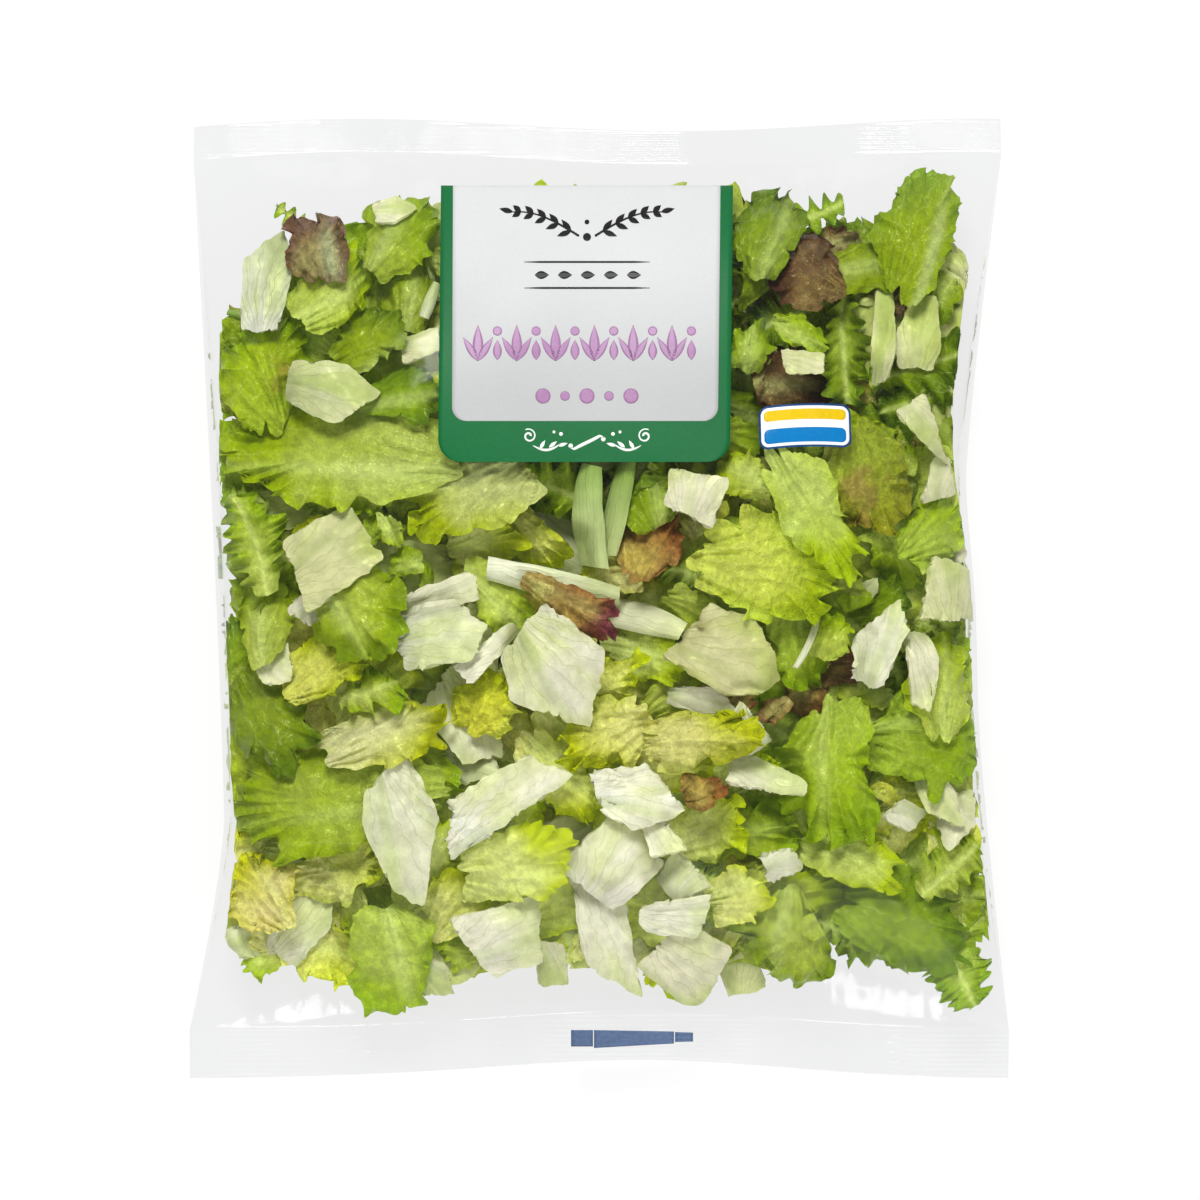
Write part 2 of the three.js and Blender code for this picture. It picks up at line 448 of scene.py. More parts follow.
# ---------------------------------------------------------------- leaf shapes
# Colours of each kind, as light and dark ends: near the cut base, and at the tip.
PALETTE = {
    "ice": ((251, 249, 222), (237, 237, 176), (233, 240, 176), (200, 217, 104)),
    "bat": ((226, 232, 156), (163, 188, 64), (196, 210, 66), (131, 164, 26)),
    "grn": ((194, 206, 114), (132, 158, 38), (154, 180, 46), (78, 104, 14)),
    "cur": ((208, 220, 134), (150, 176, 58), (150, 182, 42), (84, 112, 16)),
    "hrt": ((238, 236, 168), (210, 214, 88), (206, 216, 66), (166, 184, 30)),
    "red": ((190, 176, 104), (132, 108, 68), (166, 108, 66), (82, 42, 42)),
    "brn": ((190, 202, 104), (150, 162, 70), (166, 178, 74), (140, 134, 54)),
    "rib": ((246, 246, 216), (204, 220, 140), (228, 236, 172), (140, 176, 70)),
}
LEAF_GAIN, LEAF_DEPTH = 1.07, 1.17  # how much lighter and how much deeper in colour than the palette
THETA = np.linspace(-np.pi, np.pi, 721)[:-1]


def ring_smooth(values, width):
    if width < 1:
        return values
    kernel = np.hanning(2 * width + 3)[1:-1]
    kernel /= kernel.sum()
    padded = np.concatenate([values[-width:], values, values[:width]])
    return np.convolve(padded, kernel, "valid")


def polygon_outline(rng, corners, jitter=0.22, rounding=7, stretch=1.0):
    """Radius by angle of a knife-cut piece with straight sides and slightly rounded corners."""
    ang = -np.pi + 2 * np.pi * (np.arange(corners) + 0.5 + jitter * (rng.rand(corners) * 2 - 1)) / corners
    rad = 1.16 + 0.16 * (rng.rand(corners) * 2 - 1)
    px, py = rad * np.cos(ang), rad * np.sin(ang)
    dx, dy = np.cos(THETA), np.sin(THETA)
    out = np.full(720, 9.0)
    for i in range(corners):
        j = (i + 1) % corners
        ex, ey = px[j] - px[i], py[j] - py[i]
        det = dx * ey - dy * ex
        ok = np.abs(det) > 1e-9
        det = np.where(ok, det, 1)
        t = (px[i] * ey - py[i] * ex) / det
        s = (px[i] * dy - py[i] * dx) / det
        hit = ok & (t > 0) & (s >= -1e-6) & (s <= 1 + 1e-6)
        out = np.where(hit & (t < out), t, out)
    out = np.where(out > 8, 1.0, out)
    return ring_smooth(out, rounding)


def disc_grid(n):
    a = np.linspace(-1, 1, n + 1)
    A, B = np.meshgrid(a, a, indexing="ij")
    big = np.abs(A) > np.abs(B)
    r = np.where(big, A, B)
    with np.errstate(divide="ignore", invalid="ignore"):
        phi = np.where(big, np.pi / 4 * np.where(A != 0, B / A, 0), np.pi / 2 - np.pi / 4 * np.where(B != 0, A / B, 0))
    x, y = r * np.cos(phi), r * np.sin(phi)
    mid = (A == 0) & (B == 0)
    x, y = np.where(mid, 0, x), np.where(mid, 0, y)
    return np.hypot(x, y), np.arctan2(y, x)


def bend(X, Y, Z, toward, start, angle, r):
    """Bends the part of a leaf that lies more than start mm out in one direction, round a bend of radius r,
    by angle radians (down when it is negative), keeping its length."""
    nx, ny = math.cos(toward), math.sin(toward)
    s = X * nx + Y * ny - start
    turn = abs(angle)
    phi = np.clip(s / r, 0, turn)
    beyond = np.maximum(0, s - turn * r)
    along = np.where(s > 0, r * np.sin(phi) + beyond * math.cos(turn) - s, 0)
    up = np.where(s > 0, r * (1 - np.cos(phi)) + beyond * math.sin(turn), 0)
    return X + nx * along, Y + ny * along, Z + math.copysign(1, angle) * up


def make_leaf(kind, rng, L, W, tone, cell, lobed=None, flat=1.0, thick=None, corners=None, brown=None, tip=None, over=None,
              bends=None, shade=(1, 1, 1)):
    """One cut leaf in its own frame, its tip towards +x: arrays over a grid of points, in mm."""
    base0, base1, tip0, tip1 = [linear(c) for c in PALETTE[kind]]
    # painted light: a tone under 0 lifts the colour past the palette, brightening leaves at the lower middle against
    # the shade between them
    paler = 1 + 0.32 * max(0, -tone)
    tone = min(1, max(0, tone))
    if kind == "bat":
        tone = tone ** 0.6
    base = base0 * (1 - tone) + base1 * tone
    tipc = tip0 * (1 - tone) + tip1 * tone
    seed = rng.rand() * 90
    bladed = lobed if lobed is not None else kind in ("cur", "rib")
    jitter = (1 + 0.04 * (rng.rand() * 2 - 1)) * (1 + (0.012 if kind in ("ice", "rib") else 0.03) * (rng.rand(3) * 2 - 1))
    base, tipc = base * jitter, tipc * jitter

    if bladed:
        nu = max(8, int(round(L / (cell * (0.62 if kind == "cur" else 1.0)))))
        nv = max(4, int(round(W / (cell * 1.1))))
        nv += nv % 2
        u = np.linspace(0, 1, nu + 1)[:, None] * np.ones((1, nv + 1))
        v = np.ones((nu + 1, 1)) * np.linspace(-1, 1, nv + 1)[None, :]
        if kind == "rib":
            env = 0.55 + 0.45 * np.sin(np.pi * (0.15 + 0.8 * u)) + 0.05 * noise(u * 5, v * 0 + 1, seed)
            half = W / 2 * env
            X = (u - 0.5) * L + 0.12 * W * v * (rng.rand() * 2 - 1)
            Y = v * half
            bow = (rng.rand() * 2 - 1) * 0.10 / L
            Y = Y + bow * X * X * 4
            Z = -flat * (0.20 * W * v * v) * (1 if rng.rand() > 0.3 else -1) - flat * (rng.rand() * 0.8 + 0.2) * 1.6 * (2 * u - 1) ** 2 * L / 30
            Z = Z + 0.25 * np.cos(v * 9 + noise(u * 3, v, seed)) + 0.3 * noise(X / 6, Y / 4, seed)
            t = (thick or 1.8) * (1 - 0.55 * v * v) * (0.75 + 0.35 * (1 - u))
            VN = np.stack([Y / 2.2, Y * 0 + 9, np.full_like(X, 0.7)], -1)
            bl = np.full_like(X, 0.12)
            grad = u
            edge = np.abs(v) ** 3
        else:
            n = (2.0 + 1.2 * rng.rand()) * max(0.7, L / 26)
            side = np.sign(v)

            def lobes_of():
                many = int(round(1.6 + L / 11.0))
                best = np.zeros_like(u)
                for q in range(many):
                    at = (q + 0.5 + 0.5 * (rng.rand() - 0.5)) / many
                    best = np.maximum(best, (0.5 + 0.5 * rng.rand()) * np.exp(-np.abs((u - at) / ((0.42 + 0.20 * rng.rand()) / many)) ** 3.0))
                return best

            low = 0.42 if kind == "cur" else 0.55
            lobes = low + (1 - low) * np.where(side > 0, lobes_of(), lobes_of())
            teeth = 1 + 0.24 * noise(u * L / 2.4, side * 7, seed + 2) + 0.20 * noise(u * L / 1.1, side * 5, seed + 4)
            env = np.clip(np.sin(np.pi * np.clip(0.06 + 0.9 * u, 0, 1) ** 1.15), 0.05, 1) ** 0.55
            half = W / 2 * env * (lobes * teeth * 1.15)
            half = np.maximum(half, 0.5)
            sweep = (0.28 + 0.3 * noise(u * 6, side * 3, seed + 14)) * np.abs(v) ** 1.3 * half
            X = (u - 0.5) * L + sweep
            Y = v * half
            arc = (rng.rand() * 2 - 1) * 0.38 / L
            Y = Y + arc * (X * X)
            k = 2 * np.pi * (n * 0.9)
            amp = (4.2 if kind == "cur" else 2.6) * min(1.3, W / 18) * flat
            Z = amp * np.abs(v) ** 1.5 * np.sin(2.0 * k * u + 1.3 * side + 2.8 * noise(u * 4, side * 2, seed))
            Z = Z + 0.45 * amp * np.abs(v) ** 2.5 * np.sin(4.7 * k * u + 2.5 * noise(u * 7, side * 3, seed))
            Z = Z + (rng.rand() * 2 - 0.6) * 0.20 * np.abs(v) * W * flat
            Z = Z - (rng.rand() * 2 - 1) * 3.0 * flat * (2 * u - 1) ** 2
            Z = Z + 0.9 * noise(X / 3.5, Y / 3.5, seed) * flat
            Y = Y + 1.6 * np.abs(v) ** 2 * np.sin(2.0 * k * u * 1.3 + side) * flat
            for _ in range(2):
                X, Y, Z = bend(X, Y, Z, rng.rand() * 2 * math.pi, W * (0.05 + 0.35 * rng.rand()), (-1 if rng.rand() < 0.7 else 1) * (0.3 + 0.8 * rng.rand()), 2.5 + 2 * rng.rand())
            t = 0.45 + 1.3 * np.exp(-((v * half / 1.3) ** 2)) * (1 - 0.6 * u)
            VN = np.stack([(X - 1.3 * np.abs(v) * half) / 3.6, v * half, np.full_like(X, 0.95)], -1)
            bl = np.full_like(X, 0.75)
            grad = 0.55 * u + 0.55 * np.abs(v) - 0.05
            edge = np.abs(v) ** 3
        rho = np.maximum(np.abs(v), np.abs(2 * u - 1) ** 3)
    else:
        n = int(np.clip(round(math.sqrt(L * W) / cell), 8, 52))
        rho, th = disc_grid(n)
        k = corners or {"ice": rng.randint(4, 6), "bat": rng.randint(5, 8), "grn": rng.randint(5, 8), "hrt": rng.randint(5, 8),
             "red": rng.randint(5, 8), "brn": rng.randint(5, 8)}.get(kind, 6)
        size0 = math.sqrt(L * W)
        R0 = polygon_outline(rng, k, 0.36 if kind == "ice" else 0.34, 8 if kind == "ice" else 22)
        R0 = R0 * (1 + (0.08 if kind == "ice" else 0.10) * noise(np.cos(THETA) * 2.2, np.sin(THETA) * 2.2, seed))
        if kind != "ice":
            R0 = R0 * (1 + 0.11 * noise(np.cos(THETA) * 3.6, np.sin(THETA) * 3.6, seed + 10))
        if kind == "ice":
            torn = smooth(0.5 + 1.6 * noise(np.cos(THETA) * 1.3, np.sin(THETA) * 1.3, seed + 6))
            R0 = R0 * (1 + 0.025 * noise(np.cos(THETA) * 6, np.sin(THETA) * 6, seed + 6) + torn * 0.045 * noise(THETA * 9, THETA * 0, seed + 11)
                       + torn * 0.022 * noise(THETA * 24, THETA * 0, seed + 12))
        # frilled everywhere but along the cut side
        cut = smooth((np.cos(THETA) + 0.55) / 0.5) if kind != "ice" else np.full(720, 0.0)
        count = {"bat": 15, "grn": 12, "hrt": 16, "red": 14, "brn": 13, "ice": 9}.get(kind, 12) * (0.8 + 0.4 * rng.rand())
        amp = {"bat": 0.080, "grn": 0.11, "hrt": 0.080, "red": 0.11, "brn": 0.08, "ice": 0.0}.get(kind, 0.08)
        wob = THETA * count / 1.0 + 1.6 * noise(THETA * 1.5, THETA * 0 + 2, seed)
        saw = np.abs(np.sin(wob / 2)) * 2 - 1.2
        small = noise(THETA * count * 0.9, THETA * 0, seed + 3)
        lobe = np.abs(np.sin((THETA * count / 3.0 + 2.2 * noise(THETA * 0.8, THETA * 0 + 5, seed)) / 2)) - 0.62
        around = THETA * size0 / 2
        fringe = 0.075 * noise(around / 2.3, THETA * 0, seed + 31) + 0.055 * noise(around / 1.1, THETA * 0, seed + 32)
        R1 = R0 * (1 + cut * (0.62 * amp * saw + 1.0 * amp * small + 1.5 * amp * lobe + 1.3 * fringe * 30 / (size0 + 6)))
        for _ in range(rng.randint(1, 5) if kind != "ice" else rng.randint(0, 3)):
            at = rng.rand() * 2 * np.pi - np.pi
            away = np.abs(np.angle(np.exp(1j * (THETA - at))))
            R1 = R1 * (1 - (0.12 + 0.26 * rng.rand()) * np.exp(-((away / (0.05 + 0.06 * rng.rand())) ** 1.4)) * (0.35 if kind == "ice" else 1.0))
        R1 = R1 * (1 + (0.012 if kind == "ice" else 0.035) * noise(THETA * 15, THETA * 0, seed + 5))
        idx = (th + np.pi) / (2 * np.pi) * 720
        i0 = np.floor(idx).astype(int) % 720
        fr = idx - np.floor(idx)
        pick = lambda arr: arr[i0] * (1 - fr) + arr[(i0 + 1) % 720] * fr
        rr0, rr1 = pick(R0), pick(R1)
        w8 = rho ** 5
        rad = rho * (rr0 * (1 - w8) + rr1 * w8)
        X, Y = rad * np.cos(th) * L / 2 / 1.02, rad * np.sin(th) * W / 2 / 1.02
        size = math.sqrt(L * W)
        edge = rho ** 4
        # relief
        turn = rng.rand() * np.pi
        across = X * math.cos(turn) + Y * math.sin(turn)
        curve = {"ice": 0.030, "bat": 0.013, "grn": 0.018, "hrt": 0.016, "red": 0.02, "brn": 0.014}[kind]
        Z = -(rng.rand() * 1.7 - 0.5) * curve * across ** 2 / (1 + np.abs(across) / 25) * flat
        Z = Z + (rng.rand() * 2 - 1) * 0.009 * X * Y * flat
        ruffle = {"ice": 0.5, "bat": 2.3, "grn": 2.2, "hrt": 2.6, "red": 2.8, "brn": 2.3}[kind] * min(1.2, size / 24)
        waves = {"ice": 22.0, "bat": 7.5, "grn": 9.5, "hrt": 6.5, "red": 7.5, "brn": 7.0}[kind]
        kk = max(3, round(math.pi * size / waves))
        bend_on = 2.8 * noise(np.cos(th) * 2, np.sin(th) * 2, seed + 1)
        wave = np.sin(kk * th + bend_on + seed) + 0.55 * np.sin(2.3 * kk * th + 2 * bend_on) * rho ** 2
        wave = wave + 0.25 * np.sin(4.7 * kk * th + 3 * bend_on) * rho ** 5
        cutm = pick(cut) if kind != "ice" else 1.0
        strong = 0.5 + 0.8 * smooth(0.5 + noise(np.cos(th) * 1.5, np.sin(th) * 1.5, seed + 21))
        Z = Z + flat * ruffle * strong * rho ** 2.6 * wave * (0.25 + 0.75 * cutm)
        swing = flat * ruffle * 0.75 * rho ** 4 * np.cos(kk * th + bend_on + seed)
        X, Y = X + swing * -np.sin(th) * cutm, Y + swing * np.cos(th) * cutm
        big = {"ice": 0.8, "bat": 1.2, "grn": 1.3, "hrt": 2.0, "red": 1.7, "brn": 1.5}[kind]
        Z = Z + flat * (big * noise(X / 9, Y / 9, seed) + 0.42 * big * noise(X / 4.2, Y / 4.2, seed + 2))
        # rib folds fanning out from the cut side
        ox, oy = -0.66 * L, W * 0.22 * (rng.rand() * 2 - 1)
        fan = np.arctan2(Y - oy, X - ox)
        dist = np.hypot(X - ox, Y - oy)
        pitch = {"ice": 0.15, "bat": 0.17, "grn": 0.2, "hrt": 0.2, "red": 0.22, "brn": 0.19}[kind]
        phase = fan / pitch + 0.35 * np.sin(dist / 9 + seed)
        fold = {"ice": 0.20, "bat": 0.40, "grn": 0.35, "hrt": 0.5, "red": 0.35, "brn": 0.35}[kind]
        near = np.exp(-np.maximum(0, dist - 0.35 * L) / (0.55 * L))
        Z = Z + flat * fold * np.cos(2 * np.pi * phase) * near
        # creases that run out from the base, and puckers across them
        crimp = {"ice": 0.35, "bat": 1.2, "grn": 1.0, "hrt": 1.5, "red": 1.3, "brn": 1.2}[kind]
        Z = Z + flat * crimp * (0.5 + 0.5 * rho) * (1 - 2.4 * np.abs(noise(fan * 7, dist / 14, seed + 23)))
        Z = Z + flat * 0.45 * crimp * noise(fan * 17, dist / 4.0, seed + 24) + flat * 0.22 * crimp * noise(X / 1.7, Y / 1.7, seed + 25)
        # sides bent down or up, and sometimes one turned over on itself
        reach = size / 2
        flat_x, flat_y = X.copy(), Y.copy()
        for _ in range(rng.randint(2, 4) if bends is None else bends):
            down = -1 if rng.rand() < 0.72 else 1
            strength_b = {"ice": 0.95, "bat": 1.0, "grn": 1.1, "hrt": 1.2, "red": 1.1, "brn": 1.0}[kind] * (0.25 + 0.8 * rng.rand()) * flat
            X, Y, Z = bend(X, Y, Z, rng.rand() * 2 * math.pi, reach * (0.05 + 0.65 * rng.rand()), down * strength_b,
                           (5.0 if kind == "ice" else 3.0) + 4.0 * rng.rand())
        if over is not None:
            X, Y, Z = bend(X, Y, Z * (1 - 0.4 * smooth((X * math.cos(over[0]) + Y * math.sin(over[0])) / reach)), over[0], over[1] * reach, 2.9, 1.3)
        rib = np.exp(-((fan / 0.10) ** 2)) * np.exp(-np.maximum(0, dist - 0.4 * L) / (0.35 * L))
        if kind == "ice":
            t = (thick or (0.8 + 0.8 * rng.rand())) * (1.15 - 0.55 * (flat_x / L + 0.5)) + 0.4 * rib
        else:
            t = (thick or 0.5) * (1 - 0.35 * rho ** 6) + 1.0 * rib
        strength = {"ice": 0.75, "bat": 0.8, "grn": 0.65, "hrt": 0.7, "red": 0.5, "brn": 0.5}[kind]
        VN = np.stack([phase, fan * dist * 0.5 + (0 if rng.rand() > 0.4 else 6), strength * (0.35 + 0.65 * near)], -1)
        bl = {"ice": 0.14, "bat": 0.9, "grn": 0.8, "hrt": 1.0, "red": 0.9, "brn": 1.0}[kind] * np.ones_like(X)
        grad = (flat_x / L + 0.5) * 0.85 + 0.35 * rho ** 3 - 0.12
        if kind == "ice":
            grad = (flat_x / L + 0.5) * 0.85 + 0.60 * noise(flat_x / 11, flat_y / 11, seed + 4) + 0.30 * noise(fan * 9, dist / 16, seed + 8)

    px, py = (X, Y) if bladed else (flat_x, flat_y)
    grad = grad + 0.20 * noise(px / 8, py / 8, seed + 7)
    g = smooth(grad)[..., None]
    COL = base * (1 - g) + tipc * g
    if kind != "ice":
        pale = np.exp(-((VN[..., 1] / (0.9 if kind == "cur" else 1.4)) ** 2)) * (0.42 if bladed else 0.35) * (1 - 0.6 * smooth(grad))
        COL = COL * (1 - pale[..., None]) + linear((222, 236, 168)) * pale[..., None]
    depthy = 0.93 + 0.09 * noise(px / 5, py / 5, seed + 9)
    COL = COL * depthy[..., None]
    grey = (COL * np.array([0.2126, 0.7152, 0.0722])).sum(-1, keepdims=True)
    COL = (0.94 if kind in ("ice", "rib") else LEAF_GAIN) * (grey + (COL - grey) * (1.0 if kind in ("ice", "rib") else LEAF_DEPTH))
    # painted highlight: batavia and yellow heart leaves are made lighter towards their frilled rim
    if kind in ("bat", "hrt") and not bladed:
        COL = COL * (1 + 0.10 * edge[..., None])
    if kind in ("ice",):
        rim = (rho ** 14 * (0.5 + 0.5 * noise(px / 3, py / 3, seed + 12)))[..., None]
        COL = COL * (1 - 0.35 * rim) + linear((238, 232, 190)) * 0.35 * rim
    patchy = 0.0
    if kind == "brn" or brown:
        cx, cy, wide = brown or (0.2, -0.2, 0.36)
        spotd = np.hypot(px / L - cx * 0.5, py / W - cy * 0.5)
        patchy = smooth((wide - spotd) / 0.3 + 0.5 * noise(px / 3.2, py / 3.2, seed + 13)) * (0.62 if kind == "brn" or brown else 0)
        COL = COL * (1 - patchy[..., None]) + linear((158, 122, 66)) * patchy[..., None]
    if kind == "red":
        m = smooth(0.5 + 1.1 * noise(px / 6, py / 6, seed + 15) + 0.5 * edge)[..., None] * 0.5
        COL = COL * (1 - m) + (tipc * 0.72) * m
    if tip is not None:
        m = smooth((px / L + 0.5 - 0.74) / 0.22 + 0.4 * noise(px / 4, py / 4, seed + 16))[..., None]
        COL = COL * (1 - m) + linear(tip) * m
    COL = COL * np.array(shade) * paler
    LC = np.stack([px + seed * 3.7, py - seed * 2.9, bl], -1)
    return dict(X=X, Y=Y, Z=Z, T=np.maximum(t, 0.35) * np.ones_like(X), Col=np.clip(COL, 0.004, 0.95), vn=VN, lc=LC,
                sheet=kind not in ("ice", "rib"))


# ---------------------------------------------------------------- packing the leaves against the film
MAP_X0, MAP_Y0, MAP_NX, MAP_NY = -130, -152, 261, 305
map_x, map_y = np.meshgrid(np.arange(MAP_NX) + MAP_X0, np.arange(MAP_NY) + MAP_Y0, indexing="ij")
MAP_TOP = film(map_x, map_y, 1, False)
MAP_BOTTOM = film(map_x, map_y, -1, False)
ROOM = np.maximum(MAP_TOP - MAP_BOTTOM, 0)
SIDES = {
    1: dict(depth=np.full((MAP_NX, MAP_NY), 0.9), cover=np.zeros((MAP_NX, MAP_NY)), share=0.60),
    -1: dict(depth=np.full((MAP_NX, MAP_NY), 0.9), cover=np.zeros((MAP_NX, MAP_NY)), share=0.38),
}


def grow(a):
    """Largest of each 3 x 3 block."""
    b = a.copy()
    b[1:] = np.maximum(b[1:], a[:-1]); b[:-1] = np.maximum(b[:-1], a[1:])
    c = b.copy()
    c[:, 1:] = np.maximum(c[:, 1:], b[:, :-1]); c[:, :-1] = np.maximum(c[:, :-1], b[:, 1:])
    return c


def blur(a):
    p = np.pad(a, 1, mode="edge")
    a = (p[:-2, 1:-1] + 2 * p[1:-1, 1:-1] + p[2:, 1:-1]) / 4
    p = np.pad(a, 1, mode="edge")
    return (p[1:-1, :-2] + 2 * p[1:-1, 1:-1] + p[1:-1, 2:]) / 4


def sample(a, i, j):
    i = np.clip(i, 0, a.shape[0] - 1.001)
    j = np.clip(j, 0, a.shape[1] - 1.001)
    i0, j0 = np.floor(i).astype(int), np.floor(j).astype(int)
    fi, fj = i - i0, j - j0
    return (a[i0, j0] * (1 - fi) + a[i0 + 1, j0] * fi) * (1 - fj) + (a[i0, j0 + 1] * (1 - fi) + a[i0 + 1, j0 + 1] * fi) * fj


def soft_floor(value, limit, s):
    """value, bent smoothly so that it never falls under limit."""
    return limit + s * np.logaddexp(0, (value - limit) / s)


def lay(piece, leaf, cx, cy, angle, side, touch=0.3, tilt=(0.0, 0.0), sink=0.0, sharp=False):
    """Turns and moves a leaf to cx, cy (mm), presses it against the film or what lies there already, and adds it to a piece."""
    box = SIDES[side]
    ca, sa = math.cos(angle), math.sin(angle)
    x = cx + leaf["X"] * ca - leaf["Y"] * sa
    y = cy + leaf["X"] * sa + leaf["Y"] * ca
    # stay inside the bag: bent back softly at the side folds and at the seals
    top, bottom = top_edge(x) - TOP_SEAL - 2.5, bottom_edge(x) + BOTTOM_SEAL + 2.5
    y = soft_floor(y, bottom, 1.2)
    y = -soft_floor(-y, -top, 1.2)
    left = left_edge(y) + 2.6 + 2.6 * smooth((np.abs(y + 10) - 40) / 60)
    right = right_edge(y) - 1.5 - 4.5 * smooth((y - 15) / 50) - 1.0 * smooth((-y - 50) / 50)
    if side < 0:  # the underside's leaves end behind the ones on top
        left, right = left + 3.0, right - 1.5
    x = soft_floor(x, left, 0.9)
    x = -soft_floor(-x, -right, 0.9)

    i, j = x - MAP_X0, y - MAP_Y0
    i0, i1 = int(max(0, np.floor(i.min()) - 5)), int(min(MAP_NX, np.ceil(i.max()) + 6))
    j0, j1 = int(max(0, np.floor(j.min()) - 5)), int(min(MAP_NY, np.ceil(j.max()) + 6))
    window = box["depth"][i0:i1, j0:j1]
    window = blur(blur(grow(grow(window))))
    have = sample(window, i - i0, j - j0)

    lean = np.linalg.lstsq(np.stack([leaf["X"].ravel(), leaf["Y"].ravel(), np.ones(x.size)], -1), have.ravel(), rcond=None)[0][:2]
    lean = np.clip(lean, -0.5, 0.5) * 0.8
    relief = -(leaf["Z"] + tilt[0] * leaf["X"] + tilt[1] * leaf["Y"]) + lean[0] * leaf["X"] + lean[1] * leaf["Y"]
    half = leaf["T"] / 2 if not leaf["sheet"] else leaf["T"] * 0.0 + 0.15
    want = relief - half
    e = have - want
    start = np.quantile(e, 1 - touch) + sink
    d = start + want
    push = np.maximum(0, have - d)
    for _ in range(3):
        push = grow(push)
    for _ in range(4):
        push = blur(push)
    d = d + push + half + 0.05
    room = sample(ROOM, i, j)
    most = np.maximum(0.30 * room, box["share"] * room - 0.8)
    pull = np.maximum(0, d - most)
    for _ in range(2):
        pull = grow(pull)
    for _ in range(3):
        pull = blur(pull)
    d = np.maximum(d - pull, np.minimum(have, most) + half)
    z = film(x, y, side, False) - side * d
    P = np.stack([x, y, z], -1)
    pu = np.gradient(P, axis=0)
    pv = np.gradient(P, axis=1)
    nrm = np.cross(pu, pv)
    nrm /= np.maximum(np.linalg.norm(nrm, axis=-1, keepdims=True), 1e-9)
    off = nrm * half[..., None]
    attrs = {"Col": leaf["Col"], "vn": leaf["vn"], "lc": leaf["lc"]}
    if leaf["sheet"]:
        piece.add_sheet(P, attrs)
    else:
        piece.add_shell(P + off, P - off, attrs, sharp=sharp)

    # remember what is covered
    fine = 3
    nu, nv = x.shape
    ui = np.linspace(0, nu - 1, (nu - 1) * fine + 1)
    vi = np.linspace(0, nv - 1, (nv - 1) * fine + 1)
    UI, VI = np.meshgrid(ui, vi, indexing="ij")
    fi = np.clip(np.round(sample(i, UI, VI)).astype(int), 0, MAP_NX - 1)
    fj = np.clip(np.round(sample(j, UI, VI)).astype(int), 0, MAP_NY - 1)
    fd = sample(d + half, UI, VI) + 0.15
    np.maximum.at(box["depth"], (fi, fj), fd)
    mark = np.zeros((MAP_NX, MAP_NY), bool)
    mark[fi, fj] = True
    box["cover"] += mark


KIND_PIECES = {k: [] for k in PALETTE}
KIND_NAMES = {"ice": "iceberg", "bat": "batavia", "grn": "romaine", "cur": "curly_endive", "hrt": "yellow_heart",
              "red": "red_leaf", "brn": "bronze_leaf", "rib": "ribs"}
LIMIT = 90000  # quads in one piece, so under 200,000 triangles


def piece_for(kind):
    parts = KIND_PIECES[kind]
    if not parts or parts[-1].faces > LIMIT:
        parts.append(Piece("leaves_" + KIND_NAMES[kind] + ("" if not parts else "_%d" % (len(parts) + 1))))
    return parts[-1]


